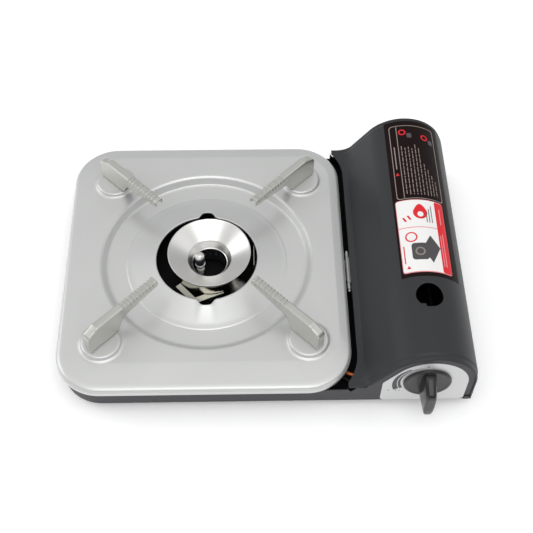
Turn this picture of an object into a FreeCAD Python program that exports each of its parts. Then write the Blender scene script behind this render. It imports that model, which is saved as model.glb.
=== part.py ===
import FreeCAD, Part
import math
import os

# Portable one-burner stove for a 227 g butane cartridge, in millimetres.
# Modelled about the burner plate's axis: +X to the cartridge side, +Y to the back, +Z up from
# the ground.  Every piece is moved to the centre of the stove's footprint as it is written.

# ---- driving dimensions ------------------------------------------------------------------
plate_width = 243.3          # top plate, left to right
plate_depth = 259.0          # top plate, front to back
plate_corner = 38.0          # corner radius of the plate in plan
plate_top = 38.0             # height of its flat top above the ground
plate_sheet = 0.8
shoulder_inset = 3.4         # plate's shoulder, in from its outline and below its flat top
shoulder_drop = 1.8
plate_lip = 9.0              # height of the turned-down edge and shoulder
flat_left = 18.0             # sloped border beside the flat top, from the outline, on each side
flat_right = 9.0
flat_front = 25.5
flat_back = 13.5
flat_corner = 27.0           # corner radius of the flat top
plate_x = -1.0               # centre of the outline from the axis of the pressed ring
plate_y = -0.5
ring_radius = 92.0           # pressed ring that holds back spills
ring_drop = 6.8
hole_radius = 44.0           # hole for the burner head
boss_radius = 18.6           # raised round seats of the pot supports
boss_rise = 3.0
boss_place = 85.5            # seat centres, left or right and in front of or behind the axis

support_tip = 58.5           # pot supports, radii from the axis
support_heel = 106.0
support_end = 134.0
support_top = 28.3           # height of the pot rest above the plate's top
support_width = 7.6
support_sheet = 1.0
groove_count = 10
groove_pitch = 3.5

foot_height = 7.0
foot_radius = 9.0
tray_sheet = 0.8
tray_inset = 3.15            # tray's left wall, in from the plate's outline
tray_depth_inset = 3.0       # its front and rear walls, in from half the plate's depth
bay_half_depth = 126.5       # least that the cartridge, its valve and their play take
tray_rim_drop = 6.2          # its rim, below the plate's flat top
tray_bottom_edge = 3.0       # bevel round the tray's bottom
dip_left = 86.0              # where its front and rear walls drop beside the cover
dip_front_top = 27.0         # tops of those walls above the ground
dip_back_top = 22.0
tray_rim_width = 9.0
tray_corner = 35.0           # its two left corners in plan

dome_radius = 39.1           # cartridge cover, outside
dome_z = 38.5                # centre of the dome
slope_deg = 54.5             # lean of the cover's inner side
slope_foot_gap = 5.7         # from the hinge's axis to the foot of the slope
cover_sheet = 0.8
cover_flange_top = 33.2      # flat flange beside the plate
cover_edge_gap = 2.0         # from the hinge's axis to the edge of that flange
cover_flare = 9.0            # how far the flange widens at both ends
flare_length = 32.6          # length of that widening
cover_overhang = 1.1         # cover's ends, beyond the tray's end walls
cover_bottom = 11.0          # lower edge of its right wall
cover_open_deg = 62.0        # the slope then stands just beside the pot supports
cover_lip = 2.2              # rolled lip at both ends
sight_hole_radius = 11.3
sight_hole_y = -67.5
sight_hole_offset = 1.6      # from the dome's centre, away from the plate
end_wall_inset = 2.6         # tray's arched end walls, in from the outside of the cover

hinge_gap = 2.75             # from the plate's outline to the hinge's axis
hinge_z = 31.0
hinge_front = -31.0
hinge_back = 7.0
knuckle_radius = 1.7
hinge_pin_radius = 1.0
knuckle_length = 6.0

cartridge_radius = 33.5
cartridge_length = 185.0
cartridge_front = -70.0      # valve end of a cartridge in place
valve_offset = 2.4           # axis of cartridge, valve and knob, left of the dome's centre
valve_z = 42.0
valve_front = -111.0         # valve body, front and back
valve_back = -80.0
outlet_reach = 14.4          # from the valve's axis to the end of its gas outlet
bracket_y = (-79.9, -78.9)   # valve bracket, front and back faces
spindle_end = -95.6

knob_radius = 19.3
knob_disc = 2.7
knob_reach = 21.5            # from the fascia to the front of the grip
knob_turn_deg = 105.0
spindle_radius = 3.0
running_fit = 0.06           # radial clearance of pins and shafts
fascia_sheet = 0.6
fascia_inset = 8.0
fascia_left_gap = 14.1       # fascia's left edge, from the foot of the cover's slope

burner_x = 2.5               # axis of the burner head
head_rim_radius = 36.0
head_rim_z = 46.5
head_throat_radius = 21.0
head_throat_z = 36.0
bore_radius = 15.6
bore_z = 30.0
bowl_radius = 31.0
bowl_bottom = 14.0
tube_radius = 7.5            # mixing tube
tube_z = 21.0
tube_deg = -41.0             # direction from the burner to the gas nozzle
pipe_radius = 2.0
pipe_y = -104.0              # where the gas pipe leaves the valve
pipe_end = 103.2             # how far from the burner's axis the pipe ends, inside the nozzle
heat_y = (-6.0, 16.0)        # heat strip, front and back
heat_end = 196.0             # its right end, under the cartridge
heat_gap = 7.5               # from the bowl to its left end

cam_base = 9.0
cam_lift = 4.0
igniter_deg = 215.0          # direction of the igniter from the spindle, seen from the front
cam_gap = 0.3
cam_y = (-121.8, -117.8)     # front and back faces of the cam
igniter_end = 37.5           # from the spindle's axis to the far end of the igniter
nose_radius = 2.3            # igniter's plunger
wire_radius = 1.2
wire_above_floor = 2.2

apart = 0.3                  # space between pieces that move past each other
seat = 0.05                  # space between fixed pieces that touch

# ---- what follows from them --------------------------------------------------------------
# the plate is never shallower than the tray below it has to be
plate_depth = max(plate_depth, 2 * (bay_half_depth + tray_depth_inset))
plate_left = plate_x - plate_width / 2
plate_right = plate_x + plate_width / 2
plate_back = plate_y + plate_depth / 2
tray_left = plate_left + tray_inset
tray_half_depth = plate_depth / 2 - tray_depth_inset
tray_rim = plate_top - tray_rim_drop
wall_y = tray_half_depth - tray_sheet          # inside of front and rear walls
floor_z = foot_height + tray_sheet             # inside of the tray's floor
wire_z = floor_z + wire_above_floor
heat_x = (burner_x + bowl_radius + heat_gap, heat_end)
igniter_y = (cam_y[0] + cam_y[1]) / 2
igniter_start = cam_base + cam_lift + 2.6
hinge_x = plate_right + hinge_gap
cover_edge = hinge_x + cover_edge_gap
cover_half_length = tray_half_depth + cover_overhang
lean = math.radians(slope_deg)
slope_foot = hinge_x + slope_foot_gap
slope_height = dome_z + dome_radius * math.cos(lean) - cover_flange_top
dome_x = slope_foot + slope_height / math.tan(lean) + dome_radius * math.sin(lean)
sight_hole_x = dome_x + sight_hole_offset
valve_x = dome_x - valve_offset
fascia_left = slope_foot + fascia_left_gap
cover_right = dome_x + dome_radius
tray_right = cover_right - end_wall_inset
fascia_y = -tray_half_depth - fascia_sheet     # front face of the fascia
knob_back = fascia_y - apart
knob_front = fascia_y - knob_reach
shift_x = -(plate_left + cover_right) / 2
shift_y = -(knob_front + plate_back) / 2
UP = FreeCAD.Vector(0, 0, 1)
ALONG_Y = FreeCAD.Vector(0, 1, 0)
ALONG_X = FreeCAD.Vector(1, 0, 0)
V = FreeCAD.Vector
os.makedirs("parts", exist_ok=True)


# ---- tools of the bench ------------------------------------------------------------------
def save(node, *pieces):
    """Moves the pieces of one node to the footprint's centre and writes its STEP file."""
    solids = []
    for piece in pieces:
        solids += piece.Solids
    shape = solids[0] if len(solids) == 1 else Part.makeCompound(solids)
    shape = shape.copy()
    shape.translate(V(shift_x, shift_y, 0))
    shape.exportStep(os.path.join("parts", node + ".step"))


def block(x, y, z):
    """Box between the pairs x, y and z."""
    size = [max(pair) - min(pair) for pair in (x, y, z)]
    return Part.makeBox(*size, V(min(x), min(y), min(z)))


def rod(radius, start, end):
    """Round bar from one point to another."""
    start = V(*start)
    run = V(*end) - start
    return Part.makeCylinder(radius, run.Length, start, run)


def ring(outer, inner, start, end):
    """Round tube from one point to another."""
    return rod(outer, start, end).cut(rod(inner, start, end))


def polygon(points):
    """Flat face through the points."""
    corners = [V(*p) for p in points]
    return Part.Face(Part.makePolygon(corners + corners[:1]))


def thicken(line, sheet):
    """Closed outline of a folded sheet: the line and its offset to the right by the sheet."""
    normals = []
    for (ax, az), (bx, bz) in zip(line, line[1:]):
        length = math.hypot(bx - ax, bz - az)
        normals.append(((bz - az) / length, -(bx - ax) / length))
    other = []
    for i, (x, z) in enumerate(line):
        ends = [normals[max(i - 1, 0)], normals[min(i, len(normals) - 1)]]
        nx = ends[0][0] + ends[1][0]
        nz = ends[0][1] + ends[1][1]
        scale = 2 * sheet / (nx * nx + nz * nz)
        other.append((x + nx * scale, z + nz * scale))
    return list(line) + other[::-1]


def turned(outline, x=0.0, y=0.0):
    """Solid of revolution of an outline of (radius, height) about an upright axis."""
    face = polygon([(r, 0, z) for r, z in outline])
    solid = face.revolve(V(0, 0, 0), UP, 360)
    solid.translate(V(x, y, 0))
    return solid


def round_rectangle(x, y, z, left_radius, right_radius):
    """Wire of a rectangle in plan with one radius at its left and one at its right corners."""
    x0, x1 = x
    y0, y1 = y
    edges = []
    corners = [(x1, y1, right_radius, 0), (x0, y1, left_radius, 90),
               (x0, y0, left_radius, 180), (x1, y0, right_radius, 270)]
    arcs = []
    for cx, cy, r, start in corners:
        mx = cx - r if cx == x1 else cx + r
        my = cy - r if cy == y1 else cy + r
        spots = []
        for deg in (start, start + 45, start + 90):
            a = math.radians(deg)
            spots.append(V(mx + r * math.cos(a), my + r * math.sin(a), z))
        arcs.append(spots)
    for i, spots in enumerate(arcs):
        edges.append(Part.Arc(*spots).toShape())
        edges.append(Part.LineSegment(spots[2], arcs[(i + 1) % 4][0]).toShape())
    return Part.Wire(edges)


def slope_x(inset, z):
    """X of the cover's sloped inner side, moved in by inset, at a height."""
    r = dome_radius - inset
    top_x = dome_x - r * math.sin(lean)
    top_z = dome_z + r * math.cos(lean)
    return top_x - (top_z - z) / math.tan(lean)


def arch_edges(inset, left, low, y=0.0):
    """Outline of the cover moved in by inset: right wall, dome, slope and flange to left."""
    r = dome_radius - inset
    level = cover_flange_top - inset
    right = V(dome_x + r, y, low)
    shoulder = V(dome_x + r, y, dome_z)
    half = (math.pi / 2 + lean) / 2
    crown = V(dome_x + r * math.cos(half), y, dome_z + r * math.sin(half))
    tangent = V(dome_x - r * math.sin(lean), y, dome_z + r * math.cos(lean))
    foot = V(slope_x(inset, level), y, level)
    edge = V(left, y, level)
    edges = [Part.LineSegment(right, shoulder).toShape(), Part.Arc(shoulder, crown, tangent).toShape()]
    edges += [Part.LineSegment(tangent, foot).toShape(), Part.LineSegment(foot, edge).toShape()]
    return edges, right, edge


def arch_band(outer, inner, left, low, y):
    """Sheet between two insets of the cover's outline, from y[0] to y[1]."""
    outside, right_out, edge_out = arch_edges(outer, left, low, y[0])
    inside, right_in, edge_in = arch_edges(inner, left, low, y[0])
    ends = [Part.LineSegment(edge_out, edge_in).toShape(), Part.LineSegment(right_in, right_out).toShape()]
    wire = Part.Wire(Part.__sortEdges__(outside + inside + ends))
    return Part.Face(wire).extrude(V(0, y[1] - y[0], 0))


def arch_wall(inset, left, low, y):
    """Solid wall under the cover's outline moved in by inset, from y[0] to y[1]."""
    outline, right, edge = arch_edges(inset, left, low, y[0])
    corner = V(left, y[0], low)
    outline += [Part.LineSegment(edge, corner).toShape(), Part.LineSegment(corner, right).toShape()]
    wire = Part.Wire(Part.__sortEdges__(outline))
    return Part.Face(wire).extrude(V(0, y[1] - y[0], 0))


def toward_nozzle(distance, z=tube_z):
    """Point on the line from the burner to the gas nozzle."""
    a = math.radians(tube_deg)
    return (burner_x + distance * math.cos(a), distance * math.sin(a), z)


def routed(points, radius, name):
    """Round bar along straight runs joined by tangent arcs, each as large as its runs allow."""
    spots = [V(*p) for p in points]
    edges = []
    here = spots[0]
    radii = []
    for before, corner, after in zip(spots, spots[1:], spots[2:]):
        into = (corner - before).normalize()
        out = (after - corner).normalize()
        half = into.getAngle(out) / 2
        run = min((corner - before).Length, (after - corner).Length)
        reach = 0.45 * run
        bend = reach / math.tan(half)
        radii.append(bend)
        start = corner - into * reach
        end = corner + out * reach
        inner = (out - into).normalize()
        middle = corner + inner * (bend / math.cos(half) - bend)
        edges.append(Part.LineSegment(here, start).toShape())
        edges.append(Part.Arc(start, middle, end).toShape())
        here = end
    edges.append(Part.LineSegment(here, spots[-1]).toShape())
    path = Part.Wire(edges)
    first = (spots[1] - spots[0]).normalize()
    section = Part.Wire(Part.makeCircle(radius, spots[0], first))
    bar = path.makePipeShell([section], True, True)
    share = bar.Volume / (math.pi * radius * radius * path.Length)
    print(name, "length", round(path.Length, 1), "radii", [round(r, 1) for r in radii],
          "volume share", round(share, 4))
    return bar


def about_valve(deg, distance, y):
    """Point at a distance from the spindle's axis, in a direction seen from the front."""
    a = math.radians(deg)
    return (valve_x + distance * math.cos(a), y, valve_z + distance * math.sin(a))


# ---- top plate and pot supports (they lift off together) ---------------------------------
def plate_outline(inset, z):
    """Rounded outline of the top plate, moved in by inset, at a height."""
    x = (plate_left + inset, plate_right - inset)
    y = (plate_y - plate_depth / 2 + inset, plate_back - inset)
    return round_rectangle(x, y, z, plate_corner - inset, plate_corner - inset)


def flat_outline(z):
    """Rounded outline of the plate's flat top, at a height."""
    x = (plate_left + flat_left, plate_right - flat_right)
    y = (plate_y - plate_depth / 2 + flat_front, plate_back - flat_back)
    return round_rectangle(x, y, z, flat_corner, flat_corner)


def under_plate(inset, flat):
    """Height of the underside of the plate's border at an inset, where the flat top starts at flat."""
    share = (flat - inset) / (flat - shoulder_inset)
    return plate_top - shoulder_drop * share - plate_sheet


def seat_places():
    """Centres of the four support seats and the directions of the supports."""
    for side, depth in ((1, 1), (-1, 1), (-1, -1), (1, -1)):
        yield side * boss_place, depth * boss_place, math.degrees(math.atan2(depth, side))


def tab_slot(width, length, z):
    """Two blocks along +X, one under each wall of a support that points along +X."""
    middle = (support_heel + support_end) / 2
    walls = []
    for side in (-1, 1):
        y = side * (support_width - support_sheet) / 2
        walls.append(block((middle - length / 2, middle + length / 2), (y - width / 2, y + width / 2), z))
    return walls[0].fuse(walls[1])


def top_plate():
    levels = [(shoulder_inset, shoulder_drop), (0.8, 3.0), (0.0, 4.0), (0.0, plate_lip)]
    wires = [flat_outline(plate_top)] + [plate_outline(i, plate_top - d) for i, d in levels]
    outer = Part.makeLoft(wires, True, True)
    levels = [(shoulder_inset + 0.4, shoulder_drop + plate_sheet), (0.8 + plate_sheet, 3.6),
              (plate_sheet, 4.4), (plate_sheet, plate_lip + 1)]
    wires = [flat_outline(plate_top - plate_sheet)] + [plate_outline(i, plate_top - d) for i, d in levels]
    inner = Part.makeLoft(wires, True, True)
    sheet = outer.cut(inner)
    overlap = 1.0
    sheet = sheet.cut(rod(ring_radius + 1.5, (0, 0, 0), (0, 0, plate_top + 1)))
    low = plate_top - ring_drop
    pressed = [(ring_radius + 1.5 + overlap, plate_top), (ring_radius + 1.0, plate_top),
               (ring_radius - 0.6, plate_top - 1.0), (ring_radius - 4.6, low + 0.8),
               (ring_radius - 6.2, low), (hole_radius + 26.0, low + 0.3),
               (hole_radius + 22.0, low + 0.9), (hole_radius + 2.0, plate_top - 0.3),
               (hole_radius + 0.6, plate_top), (hole_radius, plate_top - 0.5),
               (hole_radius, plate_top - 1.8)]
    pressed = thicken(pressed[::-1], plate_sheet)
    sheet = sheet.fuse(turned(pressed))
    for x, y, _ in seat_places():
        sheet = sheet.cut(rod(boss_radius, (x, y, plate_top - 2), (x, y, plate_top + 2)))
        high = plate_top + boss_rise
        seat_line = [(0.0, high), (boss_radius - 2.8, high), (boss_radius - 1.8, high - 0.6),
                     (boss_radius - 1.2, plate_top + 0.5), (boss_radius - 0.4, plate_top),
                     (boss_radius + overlap, plate_top)]
        sheet = sheet.fuse(turned(thicken(seat_line, plate_sheet), x, y))
    for side in (-1, 1):
        y = side * hole_radius
        sheet = sheet.cut(rod(5.4, (0, y, plate_top - 5), (0, y, plate_top + 1)))
    for _, _, deg in seat_places():
        slots = tab_slot(support_sheet + 0.3, 8.4, (plate_top, plate_top + boss_rise + 1))
        slots.rotate(V(0, 0, 0), UP, deg)
        sheet = sheet.cut(slots)
    return sheet.removeSplitter()


def pot_support():
    """One support pointing along +X: a folded channel, grooved on top, with two tabs below."""
    base = plate_top + boss_rise + seat
    top = plate_top + support_top
    end = support_end
    neck = V(100.2, 0, plate_top + 11.5)
    side = [V(support_tip, 0, top), V(end - 10.5, 0, top), V(end - 9.6, 0, top - 1.1),
            V(end - 1.4, 0, top - 4.3), V(end, 0, top - 6.5), V(end, 0, base),
            V(support_heel, 0, base)]
    edges = [Part.LineSegment(a, b).toShape() for a, b in zip(side, side[1:])]
    under = V(96.0, 0, plate_top + 17.5)
    edges.append(Part.Arc(side[-1], neck, under).toShape())
    back = [under, V(support_tip + 2, 0, plate_top + 22.0), V(support_tip, 0, plate_top + 22.8), side[0]]
    edges += [Part.LineSegment(a, b).toShape() for a, b in zip(back, back[1:])]
    channel = Part.Face(Part.Wire(edges)).extrude(V(0, support_width, 0))
    channel.translate(V(0, -support_width / 2, 0))
    roof = top - support_sheet
    hollow = [(support_tip - 1, 0, roof), (end - 11.0, 0, roof), (end - 10.4, 0, roof - 0.9),
              (end - 2.0, 0, roof - 4.4), (end + 1, 0, roof - 6.0), (end + 1, 0, plate_top),
              (support_tip - 1, 0, plate_top)]
    inside = polygon(hollow).extrude(V(0, support_width - 2 * support_sheet, 0))
    inside.translate(V(0, -support_width / 2 + support_sheet, 0))
    channel = channel.cut(inside)
    for i in range(groove_count):
        x = support_tip + 3.2 + i * groove_pitch
        channel = channel.cut(block((x, x + groove_pitch * 0.45), (-support_width, support_width),
                                    (top - 0.6, top + 1)))
    tabs = tab_slot(support_sheet, 8.0, (plate_top + 0.6, base + 0.5))
    return channel.fuse(tabs).removeSplitter()


# ---- tray with its arched ends ------------------------------------------------------------
def foot_places():
    for x in (tray_left + 20, tray_right - 20):
        for y in (-tray_half_depth + 20, tray_half_depth - 20):
            yield x, y


def base_tray():
    outer = (tray_left, tray_right), (-tray_half_depth, tray_half_depth)
    inner = (tray_left + tray_sheet, tray_right - tray_sheet), (-wall_y, wall_y)
    low = tray_bottom_edge
    wires = [round_rectangle((outer[0][0] + low, outer[0][1] - low),
                             (outer[1][0] + low, outer[1][1] - low), foot_height,
                             tray_corner - low, 1.0)]
    for z in (foot_height + low, tray_rim):
        wires.append(round_rectangle(*outer, z, tray_corner, 4.0))
    pan = Part.makeLoft(wires, True, True)
    wires = [round_rectangle((inner[0][0] + low, inner[0][1] - low),
                             (inner[1][0] + low, inner[1][1] - low), floor_z,
                             tray_corner - tray_sheet - low, 1.0)]
    for z in (floor_z + low, tray_rim + 1):
        wires.append(round_rectangle(*inner, z, tray_corner - tray_sheet, 4.0 - tray_sheet))
    pan = pan.cut(Part.makeLoft(wires, True, True))
    reach = math.hypot(hinge_x - cover_edge + cover_flare, cover_flange_top - hinge_z) + 2 * apart
    notch_left = hinge_x - reach
    rim_in = tray_rim_width
    rim = Part.Face(round_rectangle(*outer, tray_rim - tray_sheet, tray_corner, 4.0))
    rim = rim.extrude(V(0, 0, tray_sheet))
    opening = Part.Face(round_rectangle((tray_left + rim_in, tray_right - rim_in),
                                        (-tray_half_depth + rim_in, tray_half_depth - rim_in),
                                        tray_rim - tray_sheet - 1, tray_corner - rim_in, 4.0))
    rim = rim.cut(opening.extrude(V(0, 0, tray_sheet + 2)))
    rim = rim.cut(block((notch_left, tray_right + 1), (-200, 200), (0, 100)))
    pan = pan.fuse(rim)
    pan = pan.cut(block((notch_left, tray_right - 5), (-tray_half_depth - 1, -wall_y + 0.01),
                        (cover_bottom + 4, 100)))
    pan = pan.cut(block((notch_left, tray_right - 5), (wall_y - 0.01, tray_half_depth + 1),
                        (cover_bottom + 4, 100)))
    pan = pan.cut(block((tray_right - 6, tray_right + 1), (-200, 200), (cover_bottom + 9, 100)))
    for side in (-1, 1):
        faces = sorted((side * tray_half_depth, side * wall_y))
        pan = pan.fuse(arch_wall(end_wall_inset, notch_left, cover_bottom, faces))
        depth = sorted((side * (wall_y - 8), side * wall_y))
        pan = pan.fuse(arch_band(end_wall_inset, end_wall_inset + tray_sheet, hinge_x + 4,
                                 cover_bottom + 9, depth))
    notch = rod(reach, (hinge_x, -200, hinge_z), (hinge_x, 200, hinge_z)).common(swept_by_flange())
    slot_top = block((notch_left - 1, hinge_x), (-200, 200), (hinge_z, 100))
    pan = pan.cut(notch.fuse(slot_top.common(block((notch_left, 200), (-200, 200), (0, 100)))))
    for side, top in ((-1, dip_front_top), (1, dip_back_top)):
        across = (side * (wall_y - tray_rim_width), side * 200)
        pan = pan.cut(block((dip_left, notch_left + 0.01), across, (top, 100)))
    pan = pan.fuse(plate_rests())
    for x, y in foot_places():
        pan = pan.cut(rod(3.1, (x, y, 0), (x, y, floor_z + 1)))
    for i in range(-2, 3):
        pan = pan.cut(block((tray_left + 14, tray_left + 34), (i * 14 - 2.5, i * 14 + 2.5), (0, floor_z + 1)))
        pan = pan.cut(block((burner_x + 60, burner_x + 82), (i * 14 + 39.5, i * 14 + 44.5), (0, floor_z + 1)))
    pan = pan.cut(rod(spindle_radius + 2, (valve_x, -200, valve_z), (valve_x, 0, valve_z)))
    return pan.removeSplitter()


def swept_by_flange():
    """Wedge about the hinge that the widened ends of the cover's flange swing through."""
    tip = math.degrees(math.atan2(cover_flange_top - hinge_z, cover_edge - cover_flare - hinge_x))
    corners = [(hinge_x, -200, hinge_z)]
    for deg in (90, 120, 150, 180, 210, tip + cover_open_deg + 12):
        a = math.radians(deg)
        corners.append((hinge_x + 20 * math.cos(a), -200, hinge_z + 20 * math.sin(a)))
    return polygon(corners).extrude(V(0, 400, 0))


def plate_rests():
    """Pressed pads on the rim that carry the plate."""
    pads = []
    for x in (tray_left + 45, dip_left - 16):
        for side in (-1, 1):
            y = side * (tray_half_depth - tray_rim_width / 2 - 0.6)
            inset = plate_depth / 2 - abs(y - plate_y) - 3.4
            top = under_plate(inset, flat_back if side > 0 else flat_front) - apart - 0.1
            pads.append(turned([(0, tray_rim - 0.4), (3.3, tray_rim - 0.4), (2.6, top), (0, top)], x, y))
    return pads[0].fuse(pads[1:])


def bay_partition():
    """Upright sheet between the burner's side and the cartridge's, with holes for what passes."""
    x0 = hinge_x + 3.4
    sheet = block((x0, x0 + tray_sheet), (-wall_y + 4.1, wall_y - 4.1), (floor_z + seat, hinge_z - 1.7))
    foot = block((x0, x0 + 8), (-wall_y + 4.1, wall_y - 4.1), (floor_z + seat, floor_z + seat + tray_sheet))
    sheet = sheet.fuse(foot)
    holes = [rod(5.0, (x0 - 1, -111.6, tube_z), (x0 + 9, -111.6, tube_z)),
             block((x0 - 1, x0 + 9), (-121.7, -104.5), (floor_z - 1, floor_z + 9)),
             block((x0 - 1, x0 + 9), (heat_y[0] - 0.6, heat_y[1] + 0.6), (floor_z - 1, floor_z + 1.6))]
    for y in range(-80, 101, 30):
        holes.append(block((x0 - 1, x0 + 2), (y, y + 16), (hinge_z - 11, hinge_z - 8)))
    for hole in holes:
        sheet = sheet.cut(hole)
    return sheet.removeSplitter()


def rubber_foot(x, y):
    """Round rubber foot with a stem pushed through the tray's floor."""
    pad = Part.makeCone(foot_radius - 1.2, foot_radius, 2.0, V(x, y, 0))
    pad = pad.fuse(rod(foot_radius, (x, y, 2.0), (x, y, foot_height - seat)))
    stem = rod(3.0, (x, y, 3.0), (x, y, floor_z + 0.4))
    return pad.fuse(stem).removeSplitter()


def fascia_plate():
    face = arch_wall(fascia_inset, fascia_left - 20, cover_bottom, (fascia_y, -tray_half_depth - 0.02))
    face = face.common(block((fascia_left, 400), (-200, 0), (0, 200)))
    corners = []
    for edge in face.Edges:
        a, b = edge.Vertexes[0].Point, edge.Vertexes[-1].Point
        along = abs(a.y - b.y) > fascia_sheet / 2
        if along and (a.z < cover_bottom + 0.1 or abs(a.x - fascia_left) < 0.1):
            corners.append(edge)
    face = face.makeFillet(4.0, corners)
    return face.cut(rod(spindle_radius + 1.6, (valve_x, -200, valve_z), (valve_x, 0, valve_z)))


# ---- cartridge cover ---------------------------------------------------------------------
def flange_edge():
    """Plan shape of what is kept of the cover: its edge widens in an arc at both ends."""
    start = cover_half_length - flare_length
    run = flare_length
    tip = cover_edge - cover_flare
    bend = (run * run + cover_flare * cover_flare) / (2 * cover_flare)
    part = math.asin(run / bend) / 2
    dip = bend * (1 - math.cos(part))
    mid_y = start + bend * math.sin(part)
    corners = [V(400, -cover_half_length, 0), V(tip, -cover_half_length, 0), V(cover_edge, -start, 0),
               V(cover_edge, start, 0), V(tip, cover_half_length, 0), V(400, cover_half_length, 0)]
    edges = [Part.LineSegment(corners[0], corners[1]).toShape(),
             Part.Arc(corners[1], V(cover_edge - dip, -mid_y, 0), corners[2]).toShape(),
             Part.LineSegment(corners[2], corners[3]).toShape(),
             Part.Arc(corners[3], V(cover_edge - dip, mid_y, 0), corners[4]).toShape(),
             Part.LineSegment(corners[4], corners[5]).toShape(),
             Part.LineSegment(corners[5], corners[0]).toShape()]
    return Part.Face(Part.Wire(edges)).extrude(V(0, 0, 200))


def cartridge_cover():
    tip = cover_edge - cover_flare
    length = (-cover_half_length, cover_half_length)
    shell = arch_band(0, cover_sheet, tip, cover_bottom, length)
    for side in (-1, 1):
        lip = sorted((side * (tray_half_depth + apart), side * cover_half_length))
        shell = shell.fuse(arch_band(0, cover_lip, tip, cover_bottom, lip))
    shell = shell.common(flange_edge())
    hole = rod(sight_hole_radius, (sight_hole_x, sight_hole_y, dome_z), (sight_hole_x, sight_hole_y, 200))
    return shell.cut(hole).removeSplitter()


def cover_label():
    """Thin printed patch on the dome, between two angles of it."""
    outer, inner = dome_radius + 0.22, dome_radius + 0.01
    spots = []
    for r, turn in ((outer, (41.0, 80.0, 119.0)), (inner, (119.0, 80.0, 41.0))):
        row = []
        for deg in turn:
            a = math.radians(deg)
            row.append(V(dome_x + r * math.cos(a), 0, dome_z + r * math.sin(a)))
        spots.append(row)
    edges = [Part.Arc(*spots[0]).toShape(), Part.LineSegment(spots[0][2], spots[1][0]).toShape(),
             Part.Arc(*spots[1]).toShape(), Part.LineSegment(spots[1][2], spots[0][0]).toShape()]
    patch = Part.Face(Part.Wire(edges)).extrude(V(0, 172.0, 0))
    patch.translate(V(0, -49.5, 0))
    return patch


def knuckle(y0, y1, bore):
    return ring(knuckle_radius, bore, (hinge_x, y0, hinge_z), (hinge_x, y1, hinge_z))


def base_hinge_leaf():
    x0 = hinge_x + 3.4 - seat
    bore = hinge_pin_radius + running_fit
    leaf = block((x0 - 0.7, x0), (hinge_front, hinge_back), (hinge_z - 14, hinge_z - 1.75))
    for y0, y1 in ((hinge_front, hinge_front + knuckle_length), (hinge_back - 4.5, hinge_back)):
        neck = block((hinge_x + 0.4, x0), (y0, y1), (hinge_z - 2.2, hinge_z - 1.2))
        neck = neck.cut(rod(bore, (hinge_x, y0 - 1, hinge_z), (hinge_x, y1 + 1, hinge_z)))
        leaf = leaf.fuse(neck).fuse(knuckle(y0, y1, bore))
    return leaf.removeSplitter()


def cover_hinge_leaf():
    bore = hinge_pin_radius + running_fit
    y0, y1 = hinge_front + knuckle_length + apart, hinge_back - 4.5 - apart
    under = cover_flange_top - cover_sheet - seat
    leaf = block((hinge_x + 0.6, slope_x(cover_sheet, under) - 0.2), (y0, y1), (under - 0.7, under))
    leaf = leaf.cut(rod(bore, (hinge_x, y0 - 1, hinge_z), (hinge_x, y1 + 1, hinge_z)))
    return leaf.fuse(knuckle(y0, y1, bore)).removeSplitter()


def hinge_pin():
    pin = rod(hinge_pin_radius, (hinge_x, hinge_front - 1.2, hinge_z), (hinge_x, hinge_back + 1.2, hinge_z))
    for y in (hinge_front - 1.35, hinge_back + 1.35):
        pin = pin.fuse(Part.makeSphere(1.4, V(hinge_x, y, hinge_z)))
    for y in ((hinge_front - 0.05, hinge_front + 3), (hinge_back - 3, hinge_back + 0.05)):
        pin = pin.cut(ring(3.0, hinge_pin_radius, (hinge_x, y[0], hinge_z), (hinge_x, y[1], hinge_z)))
    return pin.removeSplitter()


# ---- burner ------------------------------------------------------------------------------
def burner_head():
    """Turned aluminium funnel that guides the flame."""
    line = [(bore_radius, bore_z - 0.6), (bore_radius, bore_z),
            (head_throat_radius - 2.2, head_throat_z - 1.6),
            (head_throat_radius, head_throat_z), (head_rim_radius - 0.8, head_rim_z - 0.5),
            (head_rim_radius, head_rim_z)]
    return turned(thicken(line, 1.4), burner_x)


def burner_bowl():
    """Pressed steel mixing bowl under the head, with the port of the mixing tube."""
    line = [(bore_radius + 2.0, bowl_bottom + 5.0), (bore_radius + 2.0, bowl_bottom + 1.0),
            (bore_radius + 3.0, bowl_bottom), (bowl_radius - 3.0, bowl_bottom),
            (bowl_radius, bowl_bottom + 3.0), (bowl_radius + 0.6, head_throat_z + 2.8)]
    bowl = turned(thicken(line, 0.9), burner_x)
    return bowl.cut(rod(tube_radius + seat, toward_nozzle(20), toward_nozzle(60)))


def port_ring():
    """Slotted steel ring that lines the bore: the flame comes out of its slots."""
    x, low, high = burner_x, bowl_bottom - 0.6, bore_z - 0.7
    outer = bore_radius + 0.9
    sleeve = ring(outer, bore_radius - 0.1, (x, 0, low), (x, 0, high))
    slot = block((0, outer + 1), (-0.7, 0.7), (high - 8, high - 2))
    slot.translate(V(x, 0, 0))
    for i in range(20):
        cut = slot.copy()
        cut.rotate(V(x, 0, 0), UP, i * 18)
        sleeve = sleeve.cut(cut)
    return sleeve


def mixing_tube():
    """Straight tube from the nozzle to the bowl, belled where it draws in air."""
    start = math.sqrt(bowl_radius ** 2 - tube_radius ** 2) - 0.4
    tube = rod(tube_radius, toward_nozzle(start - 1), toward_nozzle(88))
    near, far = V(*toward_nozzle(84)), V(*toward_nozzle(92))
    tube = tube.fuse(Part.makeCone(tube_radius, tube_radius + 1.6, 8, near, far - near))
    bore = rod(tube_radius - 0.9, toward_nozzle(start - 2), toward_nozzle(88))
    near, far = V(*toward_nozzle(84)), V(*toward_nozzle(92.01))
    bore = bore.fuse(Part.makeCone(tube_radius - 0.9, tube_radius + 0.7, 8.01, near, far - near))
    return tube.cut(bore).removeSplitter()


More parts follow.
